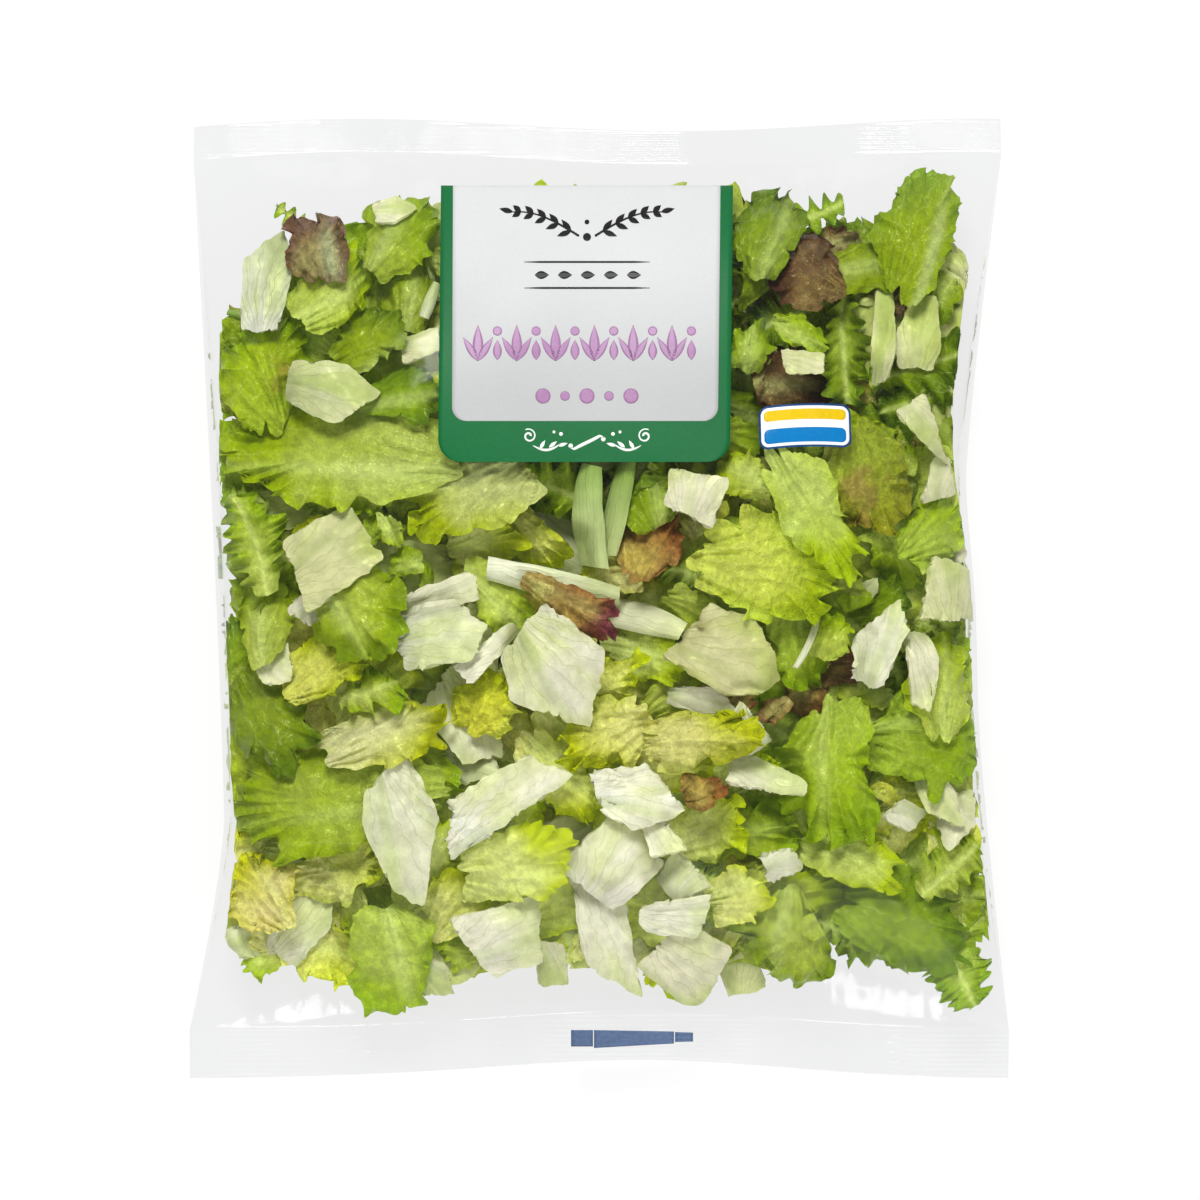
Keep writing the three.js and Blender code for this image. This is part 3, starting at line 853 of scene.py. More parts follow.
# The leaves that show best, topmost first. Each: kind, place (pixels of the 1200 x 1200 view), length and
# width (pixels), direction of the tip (degrees, anticlockwise from right), tone (0 light, 1 dark), extras.
TOP_LEAVES = [
    # upper left
    ("red", 316, 250, 78, 60, 100, 0.45, dict(touch=0.2, shade=(0.8, 0.92, 1.5))),
    ("cur", 291, 215, 36, 14, 150, 0.3, {}),
    ("ice", 393, 209, 44, 26, 5, 0.4, {}),
    ("grn", 398, 238, 88, 66, 60, 0.35, {}),
    ("ice", 264, 279, 92, 46, 82, 0.30, dict(flat=0.6, shade=(0.8, 0.82, 1.0))),
    ("ice", 332, 391, 88, 54, -12, 0.25, {}),
    ("bat", 335, 291, 104, 66, 35, 0.25, {}),
    ("bat", 261, 372, 112, 84, 100, 0.55, dict(brown=(-0.1, -0.5, 0.22))),
    ("grn", 366, 343, 84, 62, 40, 0.50, {}),
    ("rib", 430, 300, 34, 10, 70, 0.3, {}),
    ("ice", 419, 345, 42, 32, 20, 0.6, {}),
    ("grn", 410, 392, 86, 54, 8, 0.92, dict(flat=0.6)),
    ("rib", 243, 314, 34, 7, 165, 0.8, dict(thick=0.9)),
    ("grn", 410, 290, 74, 60, 80, 0.55, {}),
    ("red", 400, 312, 40, 30, 20, 0.8, {}),
    ("bat", 300, 335, 80, 56, 150, 0.35, {}),
    # left, down the side
    ("bat", 328, 452, 222, 104, 178, 0.20, dict(flat=0.75, shade=(0.86, 0.87, 0.9))),
    ("bat", 472, 488, 132, 88, 200, 0.05, dict(shade=(0.86, 0.84, 1.1))),
    ("ice", 329, 556, 116, 70, 38, 0.65, dict(corners=4, thick=1.3, bends=0, shade=(0.8, 0.82, 0.68))),
    ("grn", 346, 603, 116, 86, -62, 0.30, {}),
    ("ice", 305, 612, 40, 26, 40, 0.1, {}),
    ("cur", 255, 545, 96, 66, 110, 0.0, {}),
    ("grn", 262, 600, 104, 60, 92, 0.35, {}),
    ("ice", 270, 664, 48, 42, -50, 0.35, dict(thick=1.6)),
    ("hrt", 322, 668, 84, 54, 30, 0.65, {}),
    ("grn", 262, 716, 112, 66, -62, 0.70, dict(shade=(0.8, 0.82, 0.9))),
    ("cur", 368, 692, 66, 46, 20, 0.15, {}),
    ("grn", 236, 655, 60, 40, 90, 0.8, {}),
    ("bat", 385, 737, 118, 62, 16, 0.05, dict(shade=(1.0, 0.96, 1.6))),
    # middle, left of centre
    ("ice", 503, 806, 148, 78, 33, 0.0, dict(thick=2.2, corners=4, bends=0, shade=(1.0, 0.97, 1.06))),
    ("ice", 430, 637, 102, 64, 14, 0.25, dict(thick=2.6, corners=5)),
    ("ice", 557, 672, 130, 90, -62, 0.42, dict(corners=5, thick=1.2, flat=0.8, shade=(0.97, 0.96, 0.93))),
    ("ice", 440, 598, 84, 44, 18, 0.45, dict(thick=1.4, bends=0)),
    ("ice", 488, 650, 66, 34, 42, 0.20, dict(thick=1.2)),
    ("hrt", 483, 704, 72, 62, 70, 0.75, dict(shade=(1.12, 1.1, 0.4))),
    ("ice", 460, 708, 116, 66, -58, 0.0, dict(thick=2.4, bends=0)),
    ("red", 566, 606, 96, 38, -24, 0.35, dict(tip=(122, 44, 62))),
    ("rib", 553, 583, 122, 24, -12, 0.1, dict(thick=1.8)),
    ("grn", 506, 600, 84, 60, -45, 0.10, {}),
    ("bat", 480, 540, 80, 50, 15, 0.1, {}),
    ("hrt", 528, 534, 84, 52, -52, 0.10, {}),
    ("hrt", 470, 575, 56, 40, 100, 0.6, {}),
    ("ice", 694, 491, 60, 54, 84, 0.35, dict(corners=4)),
    ("rib", 588, 516, 92, 28, 92, 0.95, dict(thick=1.2)),
    ("rib", 618, 505, 92, 20, 78, 1.0, dict(thick=1.0)),
    ("cur", 560, 490, 88, 58, 160, 0.75, {}),
    ("grn", 650, 492, 74, 50, 100, 0.80, {}),
    ("cur", 640, 470, 74, 50, 60, 0.85, {}),
    # lower left
    ("ice", 402, 831, 132, 78, -80, 0.45, dict(flat=0.7, corners=6)),
    ("bat", 334, 803, 222, 92, 188, 0.45, dict(flat=0.7, shade=(0.76, 0.8, 0.5))),
    ("grn", 425, 775, 74, 46, -40, 0.25, {}),
    ("bat", 512, 868, 132, 84, 18, 0.20, dict(brown=(0.7, -0.6, 0.10), flat=0.8)),
    ("grn", 393, 957, 108, 84, -78, 0.05, {}),
    ("hrt", 262, 890, 92, 76, 120, 0.35, dict(shade=(1.03, 0.9, 1.1))),
    ("hrt", 338, 872, 124, 50, 8, 0.30, {}),
    ("ice", 300, 905, 104, 70, 60, 0.30, dict(flat=1.3)),
    ("hrt", 320, 945, 122, 74, -20, 0.10, {}),
    ("ice", 268, 935, 84, 60, 200, 0.35, {}),
    ("grn", 262, 962, 44, 30, 230, 0.1, {}),
    ("ice", 500, 938, 130, 62, 18, 0.30, dict(flat=0.8)),
    ("ice", 552, 964, 50, 34, -80, 0.6, {}),
    ("ice", 424, 977, 54, 36, -40, 0.5, {}),
    ("bat", 460, 905, 90, 64, 40, 0.1, {}),
    ("grn", 300, 855, 90, 34, 0, 0.55, {}),
    # lower middle
    ("ice", 646, 797, 90, 58, -14, 0.0, dict(thick=2.0)),
    ("ice", 667, 840, 46, 36, -60, 0.0, dict(thick=1.6)),
    ("ice", 614, 864, 98, 68, 42, 0.05, dict(thick=2.0, corners=5, shade=(0.92, 0.90, 0.96))),
    ("ice", 682, 915, 78, 44, 4, 0.15, dict(corners=4)),
    ("ice", 690, 968, 112, 72, -38, 0.55, dict(flat=0.8)),
    ("ice", 606, 930, 124, 64, -74, 0.45, dict(flat=0.9)),
    ("ice", 687, 875, 46, 40, 50, 0.05, dict(thick=1.8)),
    ("bat", 735, 897, 68, 54, 20, 0.05, {}),
    ("hrt", 690, 738, 150, 62, 4, 0.15, dict(shade=(0.86, 0.82, 0.78))),
    ("ice", 749, 728, 66, 46, 45, 0.05, dict(corners=4, thick=1.0)),
    ("ice", 765, 782, 74, 52, -12, 0.35, {}),
    ("hrt", 610, 735, 96, 60, 200, 0.30, {}),
    ("red", 702, 790, 50, 36, 20, 0.15, {}),
    ("bat", 560, 775, 100, 62, -40, 0.1, {}),
    ("bat", 588, 738, 130, 76, -52, 0.0, {}),
    ("bat", 540, 905, 120, 72, 20, 0.02, {}),
    ("bat", 620, 832, 116, 74, 100, 0.02, {}),
    ("hrt", 664, 772, 92, 60, 10, 0.1, {}),
    ("bat", 424, 864, 100, 60, 60, 0.05, {}),
    ("ice", 470, 758, 84, 50, 20, 0.35, {}),
    ("hrt", 606, 690, 92, 60, 30, 0.15, {}),
    ("bat", 704, 832, 96, 64, 20, 0.02, {}),
    ("bat", 650, 912, 96, 60, 160, 0.05, {}),
    ("hrt", 524, 742, 84, 54, -30, 0.05, {}),
    ("bat", 372, 690, 96, 60, 40, 0.05, {}),
    ("hrt", 560, 632, 84, 56, 120, 0.15, {}),
    ("bat", 748, 766, 84, 56, 60, 0.1, {}),
    ("bat", 486, 872, 90, 56, -20, 0.1, {}),
    # middle, right of centre
    ("bat", 813, 510, 152, 58, -56, 0.10, dict(flat=0.7)),
    ("red", 648, 548, 66, 58, 60, 0.05, {}),
    ("hrt", 765, 562, 146, 98, -12, 0.45, dict(shade=(0.88, 0.98, 0.6))),
    ("hrt", 612, 575, 78, 52, 190, 0.20, {}),
    ("bat", 745, 476, 54, 42, 160, 0.2, {}),
    ("brn", 870, 482, 102, 78, -84, 0.70, {}),
    ("ice", 930, 432, 70, 46, -58, 0.45, dict(corners=3)),
    ("ice", 941, 482, 46, 38, 80, 0.55, dict(corners=4)),
    ("ice", 946, 592, 78, 54, 84, 0.85, dict(corners=4, thick=1.8)),
    ("bat", 934, 530, 80, 64, 40, 0.50, {}),
    ("rib", 640, 618, 82, 26, -14, 0.1, dict(thick=2.0)),
    ("ice", 733, 654, 112, 76, -22, 0.65, dict(corners=5, thick=1.1, shade=(0.84, 0.82, 0.62))),
    ("bat", 640, 650, 74, 50, -12, 0.45, dict(flat=0.7)),
    ("rib", 813, 638, 62, 6, 68, 0.2, dict(thick=1.0)),
    ("grn", 833, 635, 48, 42, 60, 0.05, {}),
    ("grn", 802, 652, 104, 56, -82, 0.35, {}),
    ("ice", 880, 646, 80, 38, 70, 0.10, dict(corners=5)),
    ("red", 843, 668, 50, 28, 10, 0.95, {}),
    ("ice", 922, 666, 82, 34, -76, 0.35, dict(thick=1.4)),
    ("grn", 848, 598, 60, 42, -42, 0.15, {}),
    ("ice", 866, 590, 30, 22, 30, 0.0, {}),
    ("grn", 695, 612, 70, 42, -24, 0.35, {}),
    ("ice", 700, 700, 62, 26, -14, 0.0, {}),
    ("red", 741, 702, 32, 22, 30, 0.05, {}),
    ("grn", 672, 690, 70, 34, 35, 0.25, {}),
    ("grn", 885, 605, 60, 46, 20, 0.9, {}),
    ("bat", 858, 428, 84, 50, 170, 0.45, {}),
    ("cur", 690, 575, 60, 40, 150, 0.4, {}),
    ("bat", 945, 690, 90, 60, 90, 0.5, {}),
    ("grn", 730, 440, 54, 44, -20, 0.45, {}),
    ("bat", 900, 545, 80, 60, -60, 0.4, {}),
    # upper right
    ("bat", 917, 236, 120, 78, 76, 0.85, dict(flat=0.6, shade=(0.83, 0.76, 1.5))),
    ("grn", 768, 226, 100, 64, 66, 0.42, dict(shade=(0.76, 0.78, 0.75))),
    ("cur", 815, 214, 60, 30, 18, 0.4, {}),
    ("red", 812, 268, 78, 70, 130, 0.60, dict(shade=(1.12, 1.25, 1.2))),
    ("grn", 768, 270, 100, 52, 78, 0.30, dict(shade=(0.68, 0.7, 0.6))),
    ("grn", 872, 266, 104, 46, 12, 0.30, {}),
    ("red", 841, 237, 46, 26, 10, 0.9, {}),
    ("ice", 885, 337, 100, 24, 84, 0.30, dict(corners=6)),
    ("ice", 921, 333, 84, 44, 84, 0.35, dict(corners=6)),
    ("red", 898, 300, 34, 28, 40, 0.9, {}),
    ("cur", 928, 362, 112, 60, 16, 0.65, {}),
    ("cur", 930, 395, 96, 50, 200, 0.7, {}),
    ("ice", 801, 361, 46, 26, -12, 0.30, {}),
    ("bat", 802, 331, 56, 30, -26, 0.35, {}),
    ("grn", 752, 348, 56, 40, 84, 0.05, {}),
    ("cur", 845, 343, 108, 54, -86, 0.15, {}),
    ("red", 776, 385, 100, 50, 6, 0.95, {}),
    ("brn", 846, 395, 60, 32, 0, 0.8, {}),
    ("cur", 800, 310, 96, 54, 200, 0.8, {}),
    ("cur", 880, 400, 80, 50, 160, 0.6, {}),
    # lower right
    ("bat", 830, 762, 150, 98, -88, 0.62, dict(shade=(0.94, 0.94, 0.7))),
    ("bat", 924, 735, 108, 92, 10, 0.60, dict(shade=(0.74, 0.84, 0.45))),
    ("ice", 936, 792, 84, 28, -60, 0.15, dict(corners=5)),
    ("ice", 960, 815, 60, 34, -100, 0.15, {}),
    ("ice", 907, 816, 50, 24, -26, 0.0, {}),
    ("hrt", 905, 800, 74, 46, 10, 0.8, {}),
    ("ice", 783, 865, 38, 32, 20, 0.2, dict(thick=2.6, corners=4)),
    ("grn", 740, 836, 130, 56, 4, 0.20, {}),
    ("bat", 853, 858, 110, 56, -22, 0.15, {}),
    ("cur", 956, 868, 82, 56, 40, 0.25, {}),
    ("grn", 903, 918, 150, 98, -24, 0.42, dict(flat=0.8, shade=(0.7, 0.79, 0.4))),
    ("grn", 798, 938, 110, 90, -100, 0.30, {}),
    ("cur", 955, 965, 104, 62, -62, 0.30, {}),
    ("bat", 800, 895, 80, 44, 10, 0.6, {}),
    ("brn", 720, 815, 60, 46, -30, 0.5, {}),
    ("grn", 950, 905, 90, 60, 20, 0.45, {}),
]

# What fills the heap under them, by where it lies (pixels).
ZONES = [
    ((300, 250), ["grn", "bat", "red", "cur"]), ((260, 380), ["bat", "grn", "brn"]),
    ((260, 560), ["cur", "grn", "cur", "ice"]), ((270, 700), ["grn", "cur", "grn", "hrt"]),
    ((300, 820), ["bat", "hrt", "grn"]), ((300, 920), ["hrt", "ice", "bat", "hrt"]),
    ((420, 480), ["bat", "grn", "cur"]), ((420, 640), ["bat", "ice", "grn"]),
    ((480, 830), ["ice", "bat", "ice", "hrt"]), ((430, 940), ["bat", "ice", "bat"]),
    ((500, 300), ["bat", "ice", "grn"]), ((650, 300), ["grn", "bat", "cur"]),
    ((560, 520), ["cur", "grn", "rib"]), ((560, 680), ["hrt", "bat", "ice"]),
    ((640, 560), ["hrt", "bat", "grn"]), ((620, 880), ["ice", "bat", "rib"]),
    ((700, 720), ["hrt", "ice", "bat"]), ((690, 970), ["bat", "ice"]),
    ((760, 250), ["grn", "grn", "cur"]), ((760, 380), ["red", "cur", "grn"]),
    ((780, 560), ["hrt", "bat", "grn"]), ((860, 480), ["brn", "bat", "grn"]),
    ((800, 650), ["grn", "cur", "red"]), ((780, 840), ["grn", "cur", "brn"]),
    ((900, 320), ["cur", "grn", "ice"]), ((930, 520), ["bat", "ice", "grn"]),
    ((920, 660), ["grn", "bat", "cur"]), ((900, 760), ["bat", "hrt", "grn"]),
    ((900, 930), ["grn", "cur", "grn"]),
]

# The heap's own ends (mm): how far leaves reach towards each seal.
HEAP_X = np.array([-125, -105, -80, -50, -20, 20, 45, 70, 100, 125])
HEAP_TOP = np.array([84, 96, 108, 118, 126, 126, 122, 116, 120, 98])
HEAP_BOTTOM = np.array([-98, -112, -116, -116, -112, -120, -114, -108, -116, -112])


def tone_shift(px, py):
    """Leaves are darker at the upper right, a little darker at the upper left and paler at the lower middle."""
    def spread(x, y, wx, wy):
        return math.exp(-(((px - x) / wx) ** 2) - ((py - y) / wy) ** 2)
    return (0.52 * spread(850, 320, 170, 130) + 0.22 * spread(320, 360, 130, 130) - 0.50 * spread(580, 860, 190, 130)
            - 0.40 * spread(590, 660, 190, 110) - 0.34 * spread(320, 900, 120, 90))


def lay_top_leaves():
    for n, (kind, px, py, length, width, angle, tone, extra) in enumerate(TOP_LEAVES):
        rng = np.random.RandomState(1000 + n)
        extra = dict(extra)
        touch = extra.pop("touch", 0.10)
        if kind in ("bat", "grn", "hrt", "red") and "over" not in extra and rng.rand() < 0.22 and length < 120:
            extra["over"] = (rng.rand() * 2 * math.pi, 0.25 + 0.35 * rng.rand())
        cx, cy = spot(px, py)
        if length > 125:
            extra.setdefault("bends", 0 if length > 180 else 1)
        full = 1.0 if length > 125 else 1.09  # what bending takes off its width
        leaf = make_leaf(kind, rng, length * PIXEL * full, width * PIXEL * full, tone + tone_shift(px, py), 1.1 if kind in ("ice", "rib") else 0.72, **extra)
        slant = 0.14 if length < 120 else 0.06
        tilt = ((rng.rand() * 2 - 1) * slant, (rng.rand() * 2 - 1) * slant)
        lay(piece_for(kind), leaf, float(cx), float(cy), math.radians(angle), 1, touch, tilt, sink=0.2 + 1.0 * rng.rand(),
            sharp=kind in ("ice", "rib"))


def fill_heap(side, layers, cell, seed, most):
    rng = np.random.RandomState(seed)
    box = SIDES[side]
    placed = 0
    while placed < most:
        tries = []
        for _ in range(60):
            x, y = rng.rand() * 232 - 116, rng.rand() * 250 - 124
            lo, hi = np.interp(x, HEAP_X, HEAP_BOTTOM) + 12, np.interp(x, HEAP_X, HEAP_TOP) - 12
            if not lo < y < hi or not left_edge(y) + 10 < x < right_edge(y) - 9 - 5 * smooth((y - 15) / 50):
                continue
            i, j = int(x - MAP_X0), int(y - MAP_Y0)
            tries.append((box["cover"][i - 6:i + 7:3, j - 6:j + 7:3].mean() + 0.2 * rng.rand(), x, y))
        if not tries:
            continue
        least, x, y = min(tries)
        if least > layers:
            break
        px, py = x / PIXEL + CENTRE_X, CENTRE_Y - y / PIXEL
        kinds = min(ZONES, key=lambda z: (z[0][0] - px) ** 2 + (z[0][1] - py) ** 2)[1]
        kind = kinds[rng.randint(len(kinds))]
        L = 20 + 18 * rng.rand()
        W = L * (0.55 + 0.3 * rng.rand())
        if kind == "rib":
            W = L * 0.3
        tone = 0.02 + 0.45 * rng.rand() + tone_shift(px, py)
        over = (rng.rand() * 2 * math.pi, 0.2 + 0.4 * rng.rand()) if kind in ("bat", "grn", "hrt", "ice") and rng.rand() < 0.3 else None
        # painted shade: fill iceberg pieces are made darker and greener, as if lying in the heap's shade among green
        # leaves
        leaf = make_leaf(kind, rng, L, W, tone, cell, over=over, shade=(0.84, 0.90, 0.55) if kind == "ice" else (1, 1, 1))
        tilt = ((rng.rand() * 2 - 1) * 0.22, (rng.rand() * 2 - 1) * 0.22)
        first = box["cover"][int(x - MAP_X0), int(y - MAP_Y0)] < 1
        lay(piece_for(kind), leaf, x, y, rng.rand() * 2 * math.pi, side, 0.12, tilt,
            sink=(1.0 + 2.4 * rng.rand() + 2.5 * max(0, tone_shift(px, py))) if side > 0 and first else 1.0 * rng.rand(), sharp=kind in ("ice", "rib"))
        placed += 1
    return placed


def lay_scraps(many, seed):
    """Small frilled scraps and curls wherever the large leaves leave the film free."""
    rng = np.random.RandomState(seed)
    box = SIDES[1]
    for _ in range(many):
        tries = []
        for _ in range(40):
            x, y = rng.rand() * 226 - 113, rng.rand() * 244 - 122
            lo, hi = np.interp(x, HEAP_X, HEAP_BOTTOM) + 7, np.interp(x, HEAP_X, HEAP_TOP) - 7
            if not lo < y < hi or not left_edge(y) + 7 < x < right_edge(y) - 6 - 5 * smooth((y - 15) / 50):
                continue
            i, j = int(x - MAP_X0), int(y - MAP_Y0)
            tries.append((box["depth"][i - 4:i + 5:2, j - 4:j + 5:2].mean() + 0.8 * rng.rand(), x, y))
        if not tries:
            continue
        _, x, y = min(tries)
        px, py = x / PIXEL + CENTRE_X, CENTRE_Y - y / PIXEL
        kinds = min(ZONES, key=lambda z: (z[0][0] - px) ** 2 + (z[0][1] - py) ** 2)[1]
        kind = kinds[rng.randint(len(kinds))]
        if kind in ("ice", "rib") and rng.rand() < 0.6:
            kind = "hrt"
        if kind == "grn" and rng.rand() < 0.5:
            kind = "cur"
        L = 10 + 10 * rng.rand()
        leaf = make_leaf(kind, rng, L, L * (0.5 + 0.3 * rng.rand()), 0.1 + 0.6 * rng.rand() + tone_shift(px, py), 0.8, flat=1.1)
        lay(piece_for(kind), leaf, x, y, rng.rand() * 2 * math.pi, 1, 0.15, (rng.rand() * 0.6 - 0.3, rng.rand() * 0.6 - 0.3), sink=0.4 * rng.rand(),
            sharp=kind in ("ice", "rib"))


lay_top_leaves()
lay_scraps(120, 23)
n_top = fill_heap(1, 3.0, 1.5, 21, 230)
n_bottom = fill_heap(-1, 3.0, 1.8, 22, 270)

MATERIALS = {
    "ice": leaf_material("leaf_iceberg", rough=0.33, through=0.12, vein_tint=(0.52, 0.66, 0.28), vein_mix=0.55, cell=4.0,
                         blister=0.14, vein_bump=0.30, fine=0.2, mottle_and_hollow_shade=0.09, specular=0.3, grain=0.03),
    "bat": leaf_material("leaf_batavia", rough=0.26, cell=2.6, blister=0.6, fine=0.2, mottle_and_hollow_shade=0.13),
    "grn": leaf_material("leaf_romaine", rough=0.26, cell=2.8, blister=0.5, fine=0.2, mottle_and_hollow_shade=0.15),
    "cur": leaf_material("leaf_curly_endive", rough=0.26, cell=2.2, blister=0.5, fine=0.2, mottle_and_hollow_shade=0.15),
    "hrt": leaf_material("leaf_yellow_heart", rough=0.26, cell=2.2, blister=0.7, fine=0.2, mottle_and_hollow_shade=0.14),
    "red": leaf_material("leaf_red", rough=0.26, through=0.15, cell=2.4, blister=0.7, mottle_and_hollow_shade=0.26, vein_mix=0.2),
    "brn": leaf_material("leaf_bronze", rough=0.28, through=0.18, cell=2.4, blister=0.7, mottle_and_hollow_shade=0.2, vein_mix=0.25),
    "rib": leaf_material("leaf_rib", rough=0.22, through=0.12, cell=3.0, blister=0.1, vein_bump=0.4, fine=0.05, mottle_and_hollow_shade=0.05, vein_mix=0.2, grain=0.015),
}
leaf_objects = []
for kind, parts in KIND_PIECES.items():
    for part in parts:
        leaf_objects.append(part.build(MATERIALS[kind]))

# ---------------------------------------------------------------- the heap's core, under all the leaves that show
CORE_STEP = 4.0
core_u = np.arange(-104, 104.1, CORE_STEP)
core_v = np.arange(-108, 112.1, CORE_STEP)
cu, cv = np.meshgrid(core_u, core_v, indexing="ij")
lo = np.interp(cu, HEAP_X, HEAP_BOTTOM) + 14
hi = np.interp(cu, HEAP_X, HEAP_TOP) - 14
cy = lo + (cv - core_v[0]) / (core_v[-1] - core_v[0]) * (hi - lo)
cx = cu / 104.0 * (np.where(cu < 0, -left_edge(cy), right_edge(cy)) - 11)
deep_top, deep_bottom = SIDES[1]["depth"], SIDES[-1]["depth"]
for _ in range(4):
    deep_top, deep_bottom = grow(deep_top), grow(deep_bottom)
for _ in range(6):
    deep_top, deep_bottom = blur(deep_top), blur(deep_bottom)
ci, cj = cx - MAP_X0, cy - MAP_Y0
room = sample(ROOM, ci, cj)
zt = film(cx, cy, 1, False) - np.clip(np.maximum(sample(deep_top, ci, cj) + 0.8, 9.0), 0, 0.72 * room)
zt = zt + 1.0 * noise(cx / 9, cy / 9, 31)
underside = film(cx, cy, -1, False)
zb = underside + np.clip(sample(deep_bottom, ci, cj) + 0.8, 0, 0.60 * room)
zb = np.maximum(np.minimum(zb, zt - 0.5), underside)
zt = np.maximum(zt, zb + 0.5)
core = Piece("heap_core")
# the core stands for the inner leaves; its dark green is painted shade, the deep shade seen in the gaps between leaves
core_shade_col = np.ones(cx.shape + (3,)) * linear((96, 128, 40)) * (1 + 0.25 * noise(cx / 14, cy / 14, 33))[..., None]
core.add_shell(
    np.stack([cx, cy, zt], -1), np.stack([cx, cy, zb], -1),
    {"Col": core_shade_col, "vn": np.stack([cx / 6, cx * 0 + 9, cx * 0 + 0.4], -1), "lc": np.stack([cx, cy, cx * 0 + 1], -1)},
)
core_obj = core.build(leaf_material("leaf_core_shade", rough=0.45, through=0.1, cell=5.0, blister=1.0, mottle_and_hollow_shade=0.5))


# ---------------------------------------------------------------- the film
def film_rows():
    """Places along the bag, closest where the seals' ridges are: (seal: -1, 0, 1; share within it)."""
    rows = [(-1, t) for t in np.linspace(1, 0, 46)[:-1]]
    q = np.linspace(0, 1, 151)
    q = 0.5 * q + 0.5 * (0.5 - 0.5 * np.cos(np.pi * q))
    rows += [(0, t) for t in q]
    rows += [(1, t) for t in np.linspace(0, 1, 33)[1:]]
    return rows


def film_points(side):
    rows = film_rows()
    u = np.linspace(-1, 1, 141)
    across = 0.8 * np.sin(np.pi / 2 * u) + 0.2 * u
    A = across[:, None] * np.ones((1, len(rows)))
    x = A * TOP_LEFT
    kinds = np.array([r[0] for r in rows])[None, :] * np.ones_like(A)
    share = np.array([r[1] for r in rows])[None, :] * np.ones_like(A)

    def place(x):
        top, bottom = top_edge(x) - TOP_SEAL, bottom_edge(x) + BOTTOM_SEAL
        return np.where(kinds > 0, top + share * TOP_SEAL, np.where(kinds < 0, bottom - share * BOTTOM_SEAL, bottom + share * (top - bottom)))

    y = place(x)
    for _ in range(4):
        left, right = left_edge(y), right_edge(y)
        x = left + (A + 1) / 2 * (right - left)
        y = place(x)
    return np.stack([x, y, film(x, y, side)], -1)


def film_material():
    m = Nodes("clear_film")
    coord = m.new("ShaderNodeTexCoord").outputs["Object"]
    uneven = m.noise(coord, 90.0, 2.0, 0.4)
    height = uneven.outputs["Fac"]
    bump = m.new("ShaderNodeBump")
    bump.inputs["Strength"].default_value = 0.30
    bump.inputs["Distance"].default_value = 0.0010
    m.link(height, bump.inputs["Height"])
    clear = m.new("ShaderNodeBsdfTransparent")
    clear.inputs["Color"].default_value = (0.930, 0.932, 0.933, 1)
    gloss = m.new("ShaderNodeBsdfGlossy")
    gloss.inputs["Color"].default_value = (1, 1, 1, 1)
    gloss.inputs["Roughness"].default_value = 0.10
    m.link(bump.outputs[0], gloss.inputs["Normal"])
    milk = m.new("ShaderNodeBsdfDiffuse")
    milk.inputs["Color"].default_value = (0.95, 0.96, 0.97, 1)
    fres = m.new("ShaderNodeFresnel")
    fres.inputs["IOR"].default_value = 1.24
    m.link(bump.outputs[0], fres.inputs["Normal"])
    haze = m.ramp(uneven.outputs["Fac"], 0.45, 0.85, 0.0, 0.005)
    sep = m.new("ShaderNodeSeparateXYZ")
    m.link(coord, sep.inputs[0])
    low = m.ramp(sep.outputs[1], -0.120, -0.070, 0.011, 0.0)
    high = m.ramp(sep.outputs[1], 0.106, 0.132, 0.0, 0.014)
    milky = m.new("ShaderNodeMixShader")
    m.link(m.math("ADD", m.math("ADD", haze, low), m.math("ADD", high, 0.002)), milky.inputs[0])
    m.link(clear.outputs[0], milky.inputs[1])
    m.link(milk.outputs[0], milky.inputs[2])
    mix = m.new("ShaderNodeMixShader")
    # the side folds stand steep and would mirror the leaves
    way = m.new("ShaderNodeSeparateXYZ")
    m.link(m.new("ShaderNodeNewGeometry").outputs["True Normal"], way.inputs[0])
    flatness = m.ramp(m.math("ABSOLUTE", way.outputs[2]), 0.10, 0.50, 0.12, 0.66)
    m.link(m.math("MULTIPLY", fres.outputs[0], flatness, clamp=True), mix.inputs[0])
    m.link(milky.outputs[0], mix.inputs[1])
    m.link(gloss.outputs[0], mix.inputs[2])
    m.link(mix.outputs[0], m.out.inputs["Surface"])
    return m.mat


skin = Piece("film_bag")
skin.add_shell(film_points(1), film_points(-1))
film_obj = skin.build(film_material())
film_obj.visible_shadow = False
film_obj.visible_diffuse = False
film_obj.visible_transmission = False
film_obj.visible_glossy = False


# ---------------------------------------------------------------- print on the film
def print_material(name, rgb, rough=0.28, vary=0.05, fade=None):
    m = Nodes(name)
    coord = m.new("ShaderNodeTexCoord").outputs["Object"]
    n = m.noise(coord, 900.0, 3.0, 0.6)
    wide = m.noise(coord, 40.0, 2.0)
    shade = m.math("MULTIPLY", m.ramp(n.outputs["Fac"], 0.3, 0.7, 1 - vary, 1 + vary), m.ramp(wide.outputs["Fac"], 0.3, 0.7, 1 - vary, 1 + vary * 0.5))
    if fade:
        # painted shade: the ink darkens towards the print's lower end, where the film turns away from the light
        place = m.new("ShaderNodeSeparateXYZ")
        m.link(coord, place.inputs[0])
        shade = m.math("MULTIPLY", shade, m.ramp(place.outputs[1], fade[0], fade[1], fade[2], 1.0))
    grey = m.new("ShaderNodeCombineColor")
    for i in range(3):
        m.link(shade, grey.inputs[i])
    colour = m.mix(1.0, (*linear(rgb), 1.0), grey.outputs[0], "MULTIPLY")
    body = m.new("ShaderNodeBsdfPrincipled")
    m.link(colour, body.inputs["Base Color"])
    body.inputs["Roughness"].default_value = rough
    body.inputs["Specular IOR Level"].default_value = 0.22
    bump = m.new("ShaderNodeBump")
    bump.inputs["Strength"].default_value = 0.08
    bump.inputs["Distance"].default_value = 0.0006
    m.link(wide.outputs["Fac"], bump.inputs["Height"])
    m.link(bump.outputs[0], body.inputs["Normal"])
    m.link(body.outputs[0], m.out.inputs["Surface"])
    return m.mat


PLATE = 0.03


